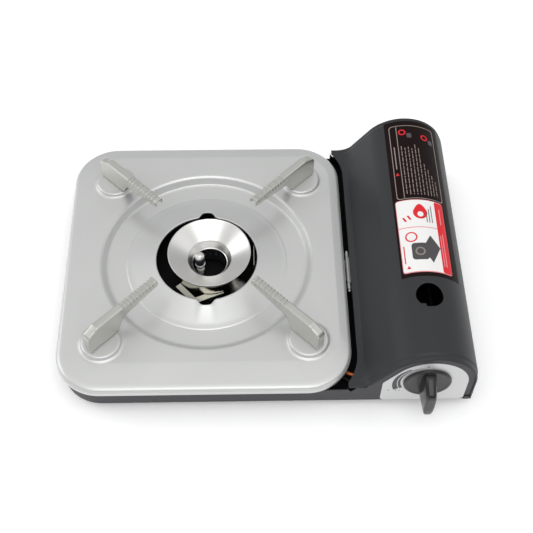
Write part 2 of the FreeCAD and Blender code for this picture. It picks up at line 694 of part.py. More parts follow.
def gas_nozzle():
    a = math.radians(tube_deg)
    body = rod(3.6, toward_nozzle(100), toward_nozzle(113))
    tip = rod(1.9, toward_nozzle(95.5), toward_nozzle(100))
    nut = Part.Face(Part.makePolygon([V(0, 4.9 * math.cos(math.radians(60 * i)),
                                        4.9 * math.sin(math.radians(60 * i))) for i in range(7)]))
    nut = nut.extrude(V(4.0, 0, 0))
    nut.rotate(V(0, 0, 0), UP, math.degrees(a))
    nut.translate(V(*toward_nozzle(108.3)))
    body = body.fuse([tip, nut])
    jet = rod(0.6, toward_nozzle(95), toward_nozzle(pipe_end))
    return body.cut(jet).cut(rod(pipe_radius + seat, toward_nozzle(pipe_end - 0.2), toward_nozzle(114)))


def nozzle_bracket():
    plate = block((0, 1.2), (-9, 9), (floor_z + seat, tube_z + 8))
    foot = block((0, 11), (-9, 9), (floor_z + seat, floor_z + seat + 1.2))
    plate = plate.fuse(foot)
    plate.rotate(V(0, 0, 0), UP, tube_deg)
    x, y, _ = toward_nozzle(105)
    plate.translate(V(x, y, 0))
    return plate.cut(rod(3.6 + seat, toward_nozzle(100), toward_nozzle(120))).removeSplitter()


def gas_pipe():
    start = valve_x - outlet_reach - seat
    points = [(start, pipe_y, tube_z), (start - 15, pipe_y, tube_z), (118.0, -113.0, tube_z),
              toward_nozzle(132), toward_nozzle(pipe_end)]
    return routed(points, pipe_radius, "gas pipe")


def burner_bracket():
    """V of steel strip under the head, with a leg at each end down to the tray."""
    z = bowl_bottom + 13.0
    tip = (-10.5, -38.7)
    strips = []
    for end in ((-24.9, -22.2), (14.0, -28.5)):
        run = V(end[0] - tip[0], end[1] - tip[1], 0)
        strip = block((-2.0, run.Length), (-2.6, 2.6), (z, z + 1.2))
        strip.rotate(V(0, 0, 0), UP, math.degrees(math.atan2(run.y, run.x)))
        strip.translate(V(tip[0], tip[1], 0))
        strips.append(strip)
    leg = block((tip[0] - 3, tip[0] + 3), (tip[1] - 4.4, tip[1] - 3.2), (floor_z + seat, z + 1.2))
    shelf = block((tip[0] - 3, tip[0] + 3), (tip[1] - 4.4, tip[1] + 1), (z, z + 1.2))
    foot = block((tip[0] - 3, tip[0] + 3), (tip[1] - 13, tip[1] - 3.2), (floor_z + seat, floor_z + seat + 1.2))
    whole = strips[0].fuse([strips[1], leg, foot, shelf])
    keep_out = rod(bowl_radius + 0.65 + 0.9, (burner_x, 0, 0), (burner_x, 0, 60))
    return whole.cut(keep_out).removeSplitter()


def electrode_insulator():
    x = burner_x - 8.8
    stem = rod(2.6, (x, 2, floor_z + 3.6), (x, 2, 25.0))
    return stem.fuse(rod(3.6, (x, 2, 17.0), (x, 2, 20.0))).removeSplitter()


def spark_electrode():
    """Domed metal cap on the insulator; the spark jumps from its rim to the port ring."""
    x = burner_x - 8.8
    line = [(0, 25.05), (3.0, 25.05), (3.0, 27.0), (4.4, 28.0), (4.4, 36.4), (3.6, 38.3),
            (2.0, 39.3), (0, 39.6)]
    cap = turned(line, x, 2)
    return cap


def electrode_terminal():
    x = burner_x - 8.8
    shoe = block((x - 2.6, x + 2.6), (-4.0, 4.6), (floor_z + 0.7, floor_z + 3.55))
    return shoe.cut(rod(wire_radius + seat, (x, -5, wire_z), (x, 0.5, wire_z)))


def heat_strip():
    """Aluminium strip that carries heat from the burner to the cartridge's underside."""
    sheet = 0.6
    low = floor_z + 0.02
    strip = block(heat_x, heat_y, (low, low + sheet))
    upright = block((heat_x[0], heat_x[0] + sheet), heat_y, (low, plate_top - 4))
    return strip.fuse(upright).removeSplitter()


# ---- gas valve and cartridge seat --------------------------------------------------------


def valve_gland():
    """Brass nut that seals the spindle into the valve."""
    return ring(6.2, spindle_radius + running_fit, (valve_x, valve_front - 4.0, valve_z),
                (valve_x, valve_front - seat, valve_z))


def pipe_nut():
    """Brass union nut that clamps the gas pipe to the valve's outlet."""
    end = valve_x - outlet_reach - seat
    return ring(4.4, pipe_radius + 0.75, (end - 5.5, pipe_y, tube_z), (end, pipe_y, tube_z))


def valve_body():
    body = rod(14.0, (valve_x, valve_front, valve_z), (valve_x, valve_back, valve_z))
    outlet = block((valve_x - outlet_reach, valve_x), (pipe_y - 6.8, pipe_y + 6.8), (tube_z - 6, valve_z - 4))
    nose = rod(7.0, (valve_x, valve_back, valve_z), (valve_x, cartridge_front - 1.0, valve_z))
    neck = rod(10.0, (valve_x, -96, valve_z), (valve_x + 15.2, -96, valve_z))
    body = body.fuse([outlet, nose, neck])
    body = body.cut(rod(spindle_radius + running_fit, (valve_x, valve_front - 1, valve_z),
                        (valve_x, -95, valve_z)))
    body = body.cut(rod(2.6, (valve_x, cartridge_front - 9, valve_z), (valve_x, 0, valve_z)))
    body = body.cut(rod(1.0, (valve_x, -95, valve_z), (valve_x, cartridge_front, valve_z)))
    return body.removeSplitter()


def regulator_cap():
    x = valve_x + 15.25
    cap = rod(15.0, (x, -96, valve_z), (x + 2.4, -96, valve_z))
    dome = Part.makeCone(11.4, 8.6, 4.0, V(x + 2.4, -96, valve_z), ALONG_X)
    cap = cap.fuse(dome).fuse(rod(3.0, (x + 6.3, -96, valve_z), (x + 8.0, -96, valve_z)))
    return cap.removeSplitter()


def regulator_screws():
    x = valve_x + 15.25 + 2.45
    heads = []
    for i in range(4):
        a = math.radians(45 + 90 * i)
        y, z = -96 + 13.2 * math.cos(a), valve_z + 13.2 * math.sin(a)
        heads.append(rod(1.5, (x, y, z), (x + 1.3, y, z)))
    return heads


def valve_bracket():
    """Sheet wall between the valve and the cartridge, shaped to pass under the cover."""
    low = floor_z + seat
    wall = arch_wall(6.5, 120, low, bracket_y)
    wall = wall.common(block((142, tray_right - 4.5), (-200, 0), (0, 200)))
    foot = block((150, 206), (bracket_y[0] - 9, bracket_y[1]), (low, low + 1.0))
    wall = wall.fuse(foot)
    return wall.cut(rod(7.0 + seat, (valve_x, -200, valve_z), (valve_x, 0, valve_z))).removeSplitter()


def magnet_ring():
    y = bracket_y[1] + seat
    return ring(20.0, 9.5, (valve_x, y, valve_z), (valve_x, y + 3.6, valve_z))


def cartridge_guide():
    """Finger that enters the notch in the cartridge's collar and sets it the right way up."""
    y = bracket_y[1] + seat
    low = valve_z + 20.3
    finger = block((valve_x - 3, valve_x + 3), (y, cartridge_front + 3.0), (low, low + 1.4))
    return finger.fuse(block((valve_x - 3, valve_x + 3), (y, y + 1.4), (low, low + 3.4))).removeSplitter()


def inlet_seal():
    y = cartridge_front - 0.95
    return ring(5.6, 2.7, (valve_x, y, valve_z), (valve_x, y + 1.2, valve_z))


def cartridge_rails():
    reach = 18.0
    drop = math.sqrt(cartridge_radius ** 2 - (reach - 1.6) ** 2)
    top = valve_z - drop - 0.15
    rails = []
    for side in (-1, 1):
        x = valve_x + side * reach
        start, end = cartridge_front + 10, cartridge_front + cartridge_length - 16
        rail = block((x - 1.6, x + 1.6), (start, end), (floor_z + seat, top))
        rail = rail.cut(block((x - 0.9, x + 0.9), (start - 1, end + 1), (0, top - 0.7)))
        rails.append(rail.cut(block((x - 3, x + 3), (heat_y[0] - 0.5, heat_y[1] + 0.5), (0, floor_z + 0.9))))
    return rails


# ---- knob, spindle and igniter -----------------------------------------------------------
def cam_radius(deg):
    """Radius of the ignition cam at an angle seen from the front, at rest."""
    share = (igniter_deg - deg) / knob_turn_deg
    return cam_base + cam_lift * share


def ignition_cam():
    """Spiral plate on the spindle: each degree of turn pushes the plunger by the same amount."""
    low, high = igniter_deg - knob_turn_deg - 6.0, igniter_deg + 6.0
    spots = []
    steps = 40
    for i in range(steps + 1):
        deg = high + (low - high) * i / steps
        a = math.radians(deg)
        r = cam_radius(deg)
        spots.append(V(valve_x + r * math.cos(a), cam_y[0], valve_z + r * math.sin(a)))
    curve = Part.BSplineCurve()
    curve.interpolate(spots)
    hub = cam_base - 1.5
    a0, a1 = math.radians(low), math.radians(high)
    start = V(valve_x + hub * math.cos(a1), cam_y[0], valve_z + hub * math.sin(a1))
    end = V(valve_x + hub * math.cos(a0), cam_y[0], valve_z + hub * math.sin(a0))
    middle = (a0 + a1) / 2 + math.pi
    far = V(valve_x + hub * math.cos(middle), cam_y[0], valve_z + hub * math.sin(middle))
    edges = [curve.toShape(), Part.LineSegment(spots[-1], end).toShape(),
             Part.Arc(end, far, start).toShape(), Part.LineSegment(start, spots[0]).toShape()]
    cam = Part.Face(Part.Wire(edges)).extrude(V(0, cam_y[1] - cam_y[0], 0))
    return cam.cut(rod(spindle_radius + 0.02, (valve_x, -200, valve_z), (valve_x, 0, valve_z)))


def valve_spindle():
    shaft = rod(spindle_radius, (valve_x, knob_back - 8.0, valve_z), (valve_x, spindle_end, valve_z))
    flat = block((valve_x - 5, valve_x + 5), (knob_back - 9, knob_back - 0.4),
                 (valve_z + spindle_radius - 1.0, valve_z + 9))
    return shaft.cut(flat)


def knob():
    """Round knob with an upright grip across its face; off is with the grip upright."""
    disc = rod(knob_radius, (valve_x, knob_back - knob_disc, valve_z), (valve_x, knob_back, valve_z))
    sections = []
    for y, width, height in ((knob_back - knob_disc + 0.2, 12.4, 36.4), (knob_back - 12, 10.8, 36.6),
                             (knob_front, 8.6, 36.8)):
        r = width / 2 - 0.4
        spots = []
        for sx, sz, start in ((1, 1, 0), (-1, 1, 90), (-1, -1, 180), (1, -1, 270)):
            cx, cz = valve_x + sx * (width / 2 - r), valve_z + sz * (height / 2 - r)
            row = []
            for deg in (start, start + 45, start + 90):
                a = math.radians(deg)
                row.append(V(cx + r * math.cos(a), y, cz + r * math.sin(a)))
            spots.append(row)
        edges = []
        for i, row in enumerate(spots):
            edges.append(Part.Arc(*row).toShape())
            edges.append(Part.LineSegment(row[2], spots[(i + 1) % 4][0]).toShape())
        sections.append(Part.Wire(edges))
    grip = Part.makeLoft(sections, True, True)
    slope = [(0, knob_front - 1, valve_z + 9), (0, knob_front - 1, valve_z + 30),
             (0, knob_back - 6, valve_z + 30), (0, knob_back - 6, valve_z + 18.5)]
    trim = polygon(slope).extrude(V(400, 0, 0))
    whole = disc.fuse(grip.cut(trim))
    bore = rod(spindle_radius + 0.02, (valve_x, knob_back - 8.05, valve_z), (valve_x, knob_back + 1, valve_z))
    key = block((valve_x - 5, valve_x + 5), (knob_back - 9, knob_back - 0.4),
                (valve_z + spindle_radius - 0.95, valve_z + 9))
    return whole.cut(bore.cut(key)).removeSplitter()


def igniter_place(piece):
    """Turns a piece built along +X from the spindle's axis into the igniter's direction."""
    piece.rotate(V(0, 0, 0), ALONG_Y, -igniter_deg)
    piece.translate(V(valve_x, 0, valve_z))
    return piece


def piezo_igniter():
    body = block((igniter_start, igniter_end), (-wall_y + seat, igniter_y + 5.2), (-5.2, 5.2))
    bore = rod(nose_radius + 0.08, (igniter_start - 1, igniter_y, 0), (igniter_start + 13.5, igniter_y, 0))
    return igniter_place(body.cut(bore))


def igniter_plunger():
    start = cam_base + cam_gap + nose_radius
    pin = rod(nose_radius, (start, igniter_y, 0), (igniter_start + 8.5, igniter_y, 0))
    return igniter_place(pin.fuse(Part.makeSphere(nose_radius, V(start, igniter_y, 0))).removeSplitter())


def ignition_wire():
    end_x, end_y, end_z = about_valve(igniter_deg, igniter_end + seat, igniter_y)
    knee_x, _, knee_z = about_valve(igniter_deg, igniter_end + 8.5, igniter_y)
    x = burner_x - 8.8
    points = [(end_x, end_y, end_z), (knee_x, end_y, knee_z), (133.5, -117.0, wire_z + 1.2),
              (122.0, -109.5, wire_z), (106.0, -101.5, wire_z), (80.0, -97.0, wire_z), (52.0, -84.0, wire_z),
              (28.0, -66.0, wire_z), (8.0, -44.0, wire_z), (x + 0.8, -20.0, wire_z), (x, -4.4, wire_z),
              (x, 0.2, wire_z)]
    return routed(points, wire_radius, "ignition wire")


def cover_catch():
    """Black plastic catch at the tray's front right corner: the cover clicks over it."""
    y = (-tray_half_depth - 0.9, -tray_half_depth - 0.02)
    body = block((tray_right - 4.9, tray_right - 0.3), y, (cover_bottom - 0.5, cover_bottom + 4.4))
    return body.makeFillet(0.4, [e for e in body.Edges if e.Length > 4])


def tray_screws():
    """Screws that hold bracket and partition feet to the tray's floor."""
    spots = [(x, bracket_y[0] - 4.8) for x in (157, 200)]
    spots += [(hinge_x + 8.6, y) for y in (-60, 60)]
    screws = []
    for x, y in spots:
        top = floor_z + seat + 1.0
        if y not in (bracket_y[0] - 4.8,):
            top = floor_z + seat + tray_sheet
        screws.append(rod(2.6, (x, y, top + 0.02), (x, y, top + 1.4)))
    return screws


# ---- writing the nodes -------------------------------------------------------------------
save("top_plate", top_plate())
support = pot_support()
names = ("back_right", "back_left", "front_left", "front_right")
for name, (_, _, deg) in zip(names, seat_places()):
    placed = support.copy()
    placed.rotate(V(0, 0, 0), UP, deg)
    save("pot_support_" + name, placed)

save("base_tray", base_tray())
save("bay_partition", bay_partition())
names = ("front_left", "back_left", "front_right", "back_right")
for name, (x, y) in zip(names, foot_places()):
    save("foot_" + name, rubber_foot(x, y))
save("fascia_plate", fascia_plate())
save("cover_catch", cover_catch())
save("tray_screws", *tray_screws())

save("cartridge_cover", cartridge_cover())
save("cover_label", cover_label())
save("base_hinge_leaf", base_hinge_leaf())
save("cover_hinge_leaf", cover_hinge_leaf())
save("hinge_pin", hinge_pin())

save("burner_head", burner_head())
save("burner_bowl", burner_bowl())
save("port_ring", port_ring())
save("mixing_tube", mixing_tube())
save("gas_nozzle", gas_nozzle())
save("nozzle_bracket", nozzle_bracket())
save("gas_pipe", gas_pipe())
save("burner_bracket", burner_bracket())
save("electrode_insulator", electrode_insulator())
save("spark_electrode", spark_electrode())
save("electrode_terminal", electrode_terminal())
save("heat_strip", heat_strip())

save("valve_body", valve_body())
save("valve_gland", valve_gland())
save("pipe_nut", pipe_nut())
save("regulator_cap", regulator_cap())
save("regulator_screws", *regulator_screws())
save("valve_bracket", valve_bracket())
save("magnet_ring", magnet_ring())
save("cartridge_guide", cartridge_guide())
save("inlet_seal", inlet_seal())
save("cartridge_rails", *cartridge_rails())

save("knob", knob())
save("valve_spindle", valve_spindle())
save("ignition_cam", ignition_cam())
save("piezo_igniter", piezo_igniter())
save("igniter_plunger", igniter_plunger())
save("ignition_wire", ignition_wire())
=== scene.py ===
import bpy
import bmesh
import math
import numpy as np
from mathutils import Matrix, Vector


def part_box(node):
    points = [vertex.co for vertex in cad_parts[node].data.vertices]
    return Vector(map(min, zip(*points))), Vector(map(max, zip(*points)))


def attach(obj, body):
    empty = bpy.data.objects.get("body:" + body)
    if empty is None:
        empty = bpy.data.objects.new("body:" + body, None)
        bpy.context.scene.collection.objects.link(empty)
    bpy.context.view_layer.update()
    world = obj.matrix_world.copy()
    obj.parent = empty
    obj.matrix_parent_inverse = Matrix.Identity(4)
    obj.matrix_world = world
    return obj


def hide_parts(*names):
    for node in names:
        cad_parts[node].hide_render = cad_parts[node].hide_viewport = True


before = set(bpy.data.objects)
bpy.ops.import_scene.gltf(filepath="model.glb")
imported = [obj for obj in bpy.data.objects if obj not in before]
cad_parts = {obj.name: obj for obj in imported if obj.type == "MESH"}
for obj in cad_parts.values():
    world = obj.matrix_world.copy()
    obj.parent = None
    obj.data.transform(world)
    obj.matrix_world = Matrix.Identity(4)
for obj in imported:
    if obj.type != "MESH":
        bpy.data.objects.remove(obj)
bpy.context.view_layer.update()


# ---- Camera, floor and light ---------------------------------------------------------------
# The stove stands on a plain white table.  One wide soft light hangs above and in front, a
# second one to the right, and the room round them is pale.
forward_tilt = math.radians(54.988)
turn = math.radians(1.619)
roll = math.radians(0.657)
forward = Vector((math.sin(turn) * math.cos(forward_tilt), math.cos(turn) * math.cos(forward_tilt),
                  -math.sin(forward_tilt)))
right = Vector((math.cos(turn), -math.sin(turn), 0.0))
upward = right.cross(forward)
right_rolled = math.cos(roll) * right + math.sin(roll) * upward
up_rolled = -math.sin(roll) * right + math.cos(roll) * upward
camera_place = Vector((-0.010395, -0.49029, 0.73689))
camera_data = bpy.data.cameras.new("camera")
camera_data.lens = 66.33
camera_data.sensor_width = 36.0
camera_data.clip_start = 0.01
camera = bpy.data.objects.new("camera", camera_data)
pose = Matrix((right_rolled, up_rolled, -forward)).transposed().to_4x4()
pose.translation = camera_place
camera.matrix_world = pose
bpy.context.collection.objects.link(camera)
bpy.context.scene.camera = camera
bpy.context.scene.view_settings.view_transform = "Standard"

floor_mesh = bpy.data.meshes.new("table_top")
floor_half = 6
floor_corners = [(x * floor_half, y * floor_half, 0) for x, y in ((-1, -1), (1, -1), (1, 1), (-1, 1))]
floor_mesh.from_pydata(floor_corners, [], [(0, 1, 2, 3)])
floor = bpy.data.objects.new("table_top", floor_mesh)
bpy.context.collection.objects.link(floor)
floor_paint = bpy.data.materials.new("table_white")
floor_paint.use_nodes = True
floor_shader = floor_paint.node_tree.nodes["Principled BSDF"]
floor_shader.inputs["Base Color"].default_value = (0.98, 0.98, 0.98, 1)
floor_shader.inputs["Roughness"].default_value = 0.9
floor_shader.inputs["Specular IOR Level"].default_value = 0.0
floor_shader.inputs["Emission Color"].default_value = (1, 1, 1, 1)
floor_shader.inputs["Emission Strength"].default_value = 0.2
floor_mesh.materials.append(floor_paint)

room = bpy.data.worlds.new("room")
bpy.context.scene.world = room
room.use_nodes = True
room_nodes, room_links = room.node_tree.nodes, room.node_tree.links
direction = room_nodes.new("ShaderNodeTexCoord")
height = room_nodes.new("ShaderNodeSeparateXYZ")
room_links.new(direction.outputs["Generated"], height.inputs[0])
shade = room_nodes.new("ShaderNodeValToRGB")
shade.color_ramp.elements[0].position = 0.0
shade.color_ramp.elements[0].color = (0.62, 0.62, 0.63, 1)
shade.color_ramp.elements[1].position = 1.0
shade.color_ramp.elements[1].color = (0.95, 0.95, 0.95, 1)
middle_shade = shade.color_ramp.elements.new(0.45)
middle_shade.color = (0.50, 0.505, 0.52, 1)
room_links.new(height.outputs["Z"], shade.inputs[0])
room_links.new(shade.outputs[0], room_nodes["Background"].inputs["Color"])
room_nodes["Background"].inputs["Strength"].default_value = 0.95


def soft_light(name, place, aim, size, power):
    """Square area light at a place, turned towards the point it lights."""
    data = bpy.data.lights.new(name, "AREA")
    data.size = size
    data.energy = power
    lamp = bpy.data.objects.new(name, data)
    lamp.location = place
    lamp.rotation_euler = (Vector(aim) - Vector(place)).to_track_quat("-Z", "Y").to_euler()
    bpy.context.collection.objects.link(lamp)


soft_light("light_above", (0.0, -0.7, 1.8), (0, 0, 0), 1.4, 10)
soft_light("light_right", (1.6, 0.2, 1.3), (0, 0, 0.03), 1.2, 2)
soft_light("light_left", (-1.6, 0.4, 0.9), (0, 0, 0.03), 1.0, 6)


# ---- Drip plate ----------------------------------------------------------------------------
# One pressed steel sheet with satin silver paint: a ring that holds back spills round the
# burner hole, four raised seats for the pot supports, and an edge turned down over the tray.
MM = 0.001
ring_right, ring_back = 1.0, 0.5
seat_rise = 3.0
sheet_gauge = 0.8
plate_corner = 38.0
flat_left, flat_right, flat_front, flat_back, flat_corner = -104.5, 111.5, -104.5, 115.5, 27.0
plate_low, plate_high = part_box("top_plate")
axis_x = (plate_low[0] + plate_high[0]) / 2 / MM + ring_right
axis_y = (plate_low[1] + plate_high[1]) / 2 / MM + ring_back
plate_z = plate_high[2] / MM - seat_rise
plate_half = ((plate_high[0] - plate_low[0]) / 2 / MM, (plate_high[1] - plate_low[1]) / 2 / MM)


def tone(red, green, blue):
    """Linear colour of a display colour given from 0 to 255: the inverse of the sRGB curve."""
    shown = np.array([red, green, blue]) / 255.0
    linear = np.where(shown <= 0.04045, shown / 12.92, ((shown + 0.055) / 1.055) ** 2.4)
    return (*[float(c) for c in linear], 1.0)


def finish(name, colour, rough, metal=0.0, vary=0.04, blotch=18.0, grain=900.0, bump=0.02,
           rough_vary=0.05, gloss=0.5, coat=0.0):
    """Paint, metal or plastic: broad blotches tint the colour, a fine grain moves the bump."""
    made = bpy.data.materials.new(name)
    made.use_nodes = True
    nodes, links = made.node_tree.nodes, made.node_tree.links
    shader = nodes["Principled BSDF"]
    shader.inputs["Metallic"].default_value = metal
    shader.inputs["Specular IOR Level"].default_value = gloss
    shader.inputs["Coat Weight"].default_value = coat
    shader.inputs["Coat Roughness"].default_value = 0.25
    where = nodes.new("ShaderNodeTexCoord")
    broad = nodes.new("ShaderNodeTexNoise")
    broad.inputs["Scale"].default_value = blotch
    broad.inputs["Detail"].default_value = 3.0
    links.new(where.outputs["Object"], broad.inputs["Vector"])
    fine = nodes.new("ShaderNodeTexNoise")
    fine.inputs["Scale"].default_value = grain
    fine.inputs["Detail"].default_value = 2.0
    links.new(where.outputs["Object"], fine.inputs["Vector"])
    both = nodes.new("ShaderNodeMix")
    both.inputs[0].default_value = 0.35
    links.new(broad.outputs["Fac"], both.inputs[2])
    links.new(fine.outputs["Fac"], both.inputs[3])
    tint = nodes.new("ShaderNodeValToRGB")
    tint.color_ramp.elements[0].position = 0.35
    tint.color_ramp.elements[0].color = (*[c * (1 - vary) for c in colour[:3]], 1)
    tint.color_ramp.elements[1].position = 0.65
    tint.color_ramp.elements[1].color = (*[min(1.0, c * (1 + vary)) for c in colour[:3]], 1)
    links.new(both.outputs[0], tint.inputs[0])
    links.new(tint.outputs[0], shader.inputs["Base Color"])
    sheen = nodes.new("ShaderNodeMapRange")
    sheen.inputs["To Min"].default_value = max(0.02, rough - rough_vary)
    sheen.inputs["To Max"].default_value = min(1.0, rough + rough_vary)
    links.new(both.outputs[0], sheen.inputs["Value"])
    links.new(sheen.outputs[0], shader.inputs["Roughness"])
    relief = nodes.new("ShaderNodeBump")
    relief.inputs["Strength"].default_value = 0.5
    relief.inputs["Distance"].default_value = bump * MM
    links.new(fine.outputs["Fac"], relief.inputs["Height"])
    links.new(relief.outputs[0], shader.inputs["Normal"])
    return made


def add_piece(name, points, quads, body, paint, stands_for=(), crease=40.0):
    """Piece on a body from points in mm and faces, shaded smooth up to the crease angle."""
    mesh = bpy.data.meshes.new(name)
    mesh.from_pydata((np.asarray(points, float).reshape(-1, 3) * MM).tolist(), [], quads)
    mesh.shade_smooth()
    mesh.set_sharp_from_angle(angle=math.radians(crease))
    for one in (paint if isinstance(paint, (list, tuple)) else [paint]):
        mesh.materials.append(one)
    piece = bpy.data.objects.new(name, mesh)
    bpy.context.collection.objects.link(piece)
    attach(piece, body)
    if stands_for:
        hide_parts(*stands_for)
    return piece


def grid_faces(rows, columns, loop_rows=False, loop_columns=False, start=0):
    """Quads between neighbours of a rows by columns grid, numbered row by row, as index arrays."""
    i = np.arange(rows if loop_rows else rows - 1)[:, None]
    j = np.arange(columns if loop_columns else columns - 1)[None, :]
    i2, j2 = (i + 1) % rows, (j + 1) % columns
    faces = np.stack([i * columns + j, i * columns + j2, i2 * columns + j2, i2 * columns + j], -1)
    return (faces.reshape(-1, 4) + start).tolist()


def soften(corners, reach, steps=5):
    """Polyline with each inner corner swapped for a parabola that starts and ends reach before it."""
    p = np.asarray(corners, float)
    back, ahead = p[:-2] - p[1:-1], p[2:] - p[1:-1]
    back_len = np.linalg.norm(back, axis=1, keepdims=True)
    ahead_len = np.linalg.norm(ahead, axis=1, keepdims=True)
    reach = np.broadcast_to(np.asarray(reach, float).reshape(-1, 1), back_len.shape)
    a = p[1:-1] + back / back_len * np.minimum(reach, 0.45 * back_len)
    b = p[1:-1] + ahead / ahead_len * np.minimum(reach, 0.45 * ahead_len)
    t = np.linspace(0, 1, steps)[None, :, None]
    curve = (1 - t) ** 2 * a[:, None] + 2 * t * (1 - t) * p[1:-1][:, None] + t ** 2 * b[:, None]
    return np.vstack([p[:1], curve.reshape(-1, p.shape[1]), p[-1:]])


def from_axis(x, y, z):
    """Points given from the plate ring's axis and the ground, stacked in the frame of the stove."""
    x, y, z = np.broadcast_arrays(x, y, z)
    return np.stack([x + axis_x, y + axis_y, z], -1)


def rounded_box_reach(angle, low, high, radius):
    """Distance from the axis along each angle to a rounded rectangle from low to high, by halving."""
    centre = (np.array(low) + np.array(high)) / 2
    half = (np.array(high) - np.array(low)) / 2 - radius
    near, far = np.zeros_like(angle), np.full_like(angle, 400.0)
    for _ in range(36):
        middle = (near + far) / 2
        qx = np.abs(middle * np.cos(angle) - centre[0]) - half[0]
        qy = np.abs(middle * np.sin(angle) - centre[1]) - half[1]
        away = np.hypot(np.maximum(qx, 0), np.maximum(qy, 0)) + np.minimum(np.maximum(qx, qy), 0)
        outside = away > radius
        far = np.where(outside, middle, far)
        near = np.where(outside, near, middle)
    return (near + far) / 2


def packed_angles(count, spots, width, extra):
    """Angles of a full turn, packed closer near the given spots: the inverse of a summed density."""
    fine = np.linspace(0, 2 * np.pi, 20001)
    gap = np.angle(np.exp(1j * (fine[:, None] - np.radians(spots)[None, :])))
    density = 1 + extra * np.exp(-(gap / math.radians(width)) ** 2).sum(1)
    total = np.concatenate([[0], np.cumsum((density[1:] + density[:-1]) / 2)])
    return np.interp(np.linspace(0, total[-1], count + 1)[:-1], total, fine)


notch_angles, corner_angles = [90, 270], [42, 138, 222, 318]
turns = packed_angles(520, notch_angles + corner_angles, 9, 1.6)
hole, notch, notch_half = 44.0, 5.6, 6.2
notch_gap = np.minimum(np.abs(np.angle(np.exp(1j * (turns - np.pi / 2)))),
                       np.abs(np.angle(np.exp(1j * (turns + np.pi / 2)))))
notch_out = notch * np.exp(-(hole * notch_gap / notch_half) ** 4) * 0.96
ring_corners = [(0.0, -2.0), (0.0, -0.15), (1.1, 0.1), (2.6, -0.35), (22.0, -5.6), (25.6, -6.15),
                (26.6, -6.6), (41.4, -6.8), (43.6, -6.2), (47.2, -1.1), (49.2, 0.0), (52.0, 0.0)]
ring_line = soften(ring_corners, [0.5, 0.7, 2.0, 2.0, 0.4, 0.4, 0.6, 0.7, 0.6, 0.6], 5)
ring_part = hole + ring_line[:, 0]
notch_share = np.clip(1 - ring_line[:, 0] / 15.0, 0, 1) ** 1.5
ring_r = ring_part[:, None] + notch_share[:, None] * notch_out[None, :]
ring_z = np.broadcast_to(ring_line[:, 1][:, None], ring_r.shape)
edge_low = (-plate_half[0] - ring_right, -plate_half[1] - ring_back)
edge_high = (plate_half[0] - ring_right, plate_half[1] - ring_back)
flat_reach = rounded_box_reach(turns, (flat_left, flat_front), (flat_right, flat_back), flat_corner)


def edge_reach(inset):
    """Distance from the axis to the plate's outline moved in by inset."""
    low = (edge_low[0] + inset, edge_low[1] + inset)
    high = (edge_high[0] - inset, edge_high[1] - inset)
    return rounded_box_reach(turns, low, high, plate_corner - inset)


shoulder_reach = edge_reach(3.6)
flat_start = np.full_like(turns, ring_part[-1])
flat_steps = [0.2, 0.5, 0.8, 0.94, 1.0]
border = [(0.015, -0.01), (0.04, -0.05), (0.3, -0.55), (0.5, -0.93), (0.7, -1.32), (0.86, -1.63),
          (1.0, -1.9)]
hem = [(2.6, -2.2), (1.7, -2.65), (1.05, -3.2), (0.78, -3.7), (0.72, -4.05), (0.50, -4.25),
       (0.2, -4.42), (0.02, -4.7), (0.0, -6.4), (0.0, -8.4), (0.06, -8.8), (0.3, -9.0), (0.8, -9.0)]
outer_r = [flat_start + (flat_reach - flat_start) * t for t in flat_steps]
outer_z = [0.0] * len(flat_steps)
outer_r += [flat_reach + (shoulder_reach - flat_reach) * t for t, _ in border]
outer_z += [z for _, z in border]
outer_r += [edge_reach(i) for i, _ in hem]
outer_z += [z for _, z in hem]
plate_r = np.vstack([ring_r, np.array(outer_r)])
outer_h = np.broadcast_to(np.array(outer_z)[:, None], (len(outer_z), len(turns)))
plate_h = np.vstack([ring_z, outer_h])
plate_points = from_axis(plate_r * np.cos(turns), plate_r * np.sin(turns), plate_z + plate_h)
rows, columns = plate_r.shape
plate_faces = np.array(grid_faces(rows, columns, loop_columns=True))[:, ::-1].tolist()
silver = finish("plate_silver", tone(211, 212, 210), 0.38, metal=0.6, vary=0.02, grain=1500,
                bump=0.006, rough_vary=0.04, gloss=0.35)
drip_plate = add_piece("drip_plate", plate_points, plate_faces, "plate", silver,
                       ["top_plate"], 60)


def give_sheet(piece, thickness):
    """Wall of a thickness in mm, grown inwards from the outer surface."""
    wall = piece.modifiers.new("sheet", "SOLIDIFY")
    wall.thickness = thickness * MM
    wall.offset = -1.0


give_sheet(drip_plate, sheet_gauge)

# ---- Seats of the pot supports ---------------------------------------------------------------
# Four round bosses pressed up in the plate.  Each has a flat top, a soft shoulder and a small
# fillet where it runs out into the plate.
seat_place = 85.5
seat_line = soften([(0.0, seat_rise), (15.9, seat_rise), (17.3, 0.55), (19.6, -0.03)], [1.3, 1.2], 6)
around = np.linspace(0, 2 * np.pi, 96, endpoint=False)
seat_r = np.maximum(seat_line[:, 0], 0.01)[:, None]
seat_z = plate_z + seat_line[:, 1][:, None]
seat_faces = np.array(grid_faces(len(seat_line), len(around), loop_columns=True))[:, ::-1].tolist()
for seat_name, side, depth in (("back_right", 1, 1), ("back_left", -1, 1), ("front_left", -1, -1),
                               ("front_right", 1, -1)):
    seat_points = from_axis(side * seat_place + seat_r * np.cos(around),
                            depth * seat_place + seat_r * np.sin(around), seat_z)
    add_piece("support_seat_" + seat_name, seat_points, seat_faces, "plate", silver)

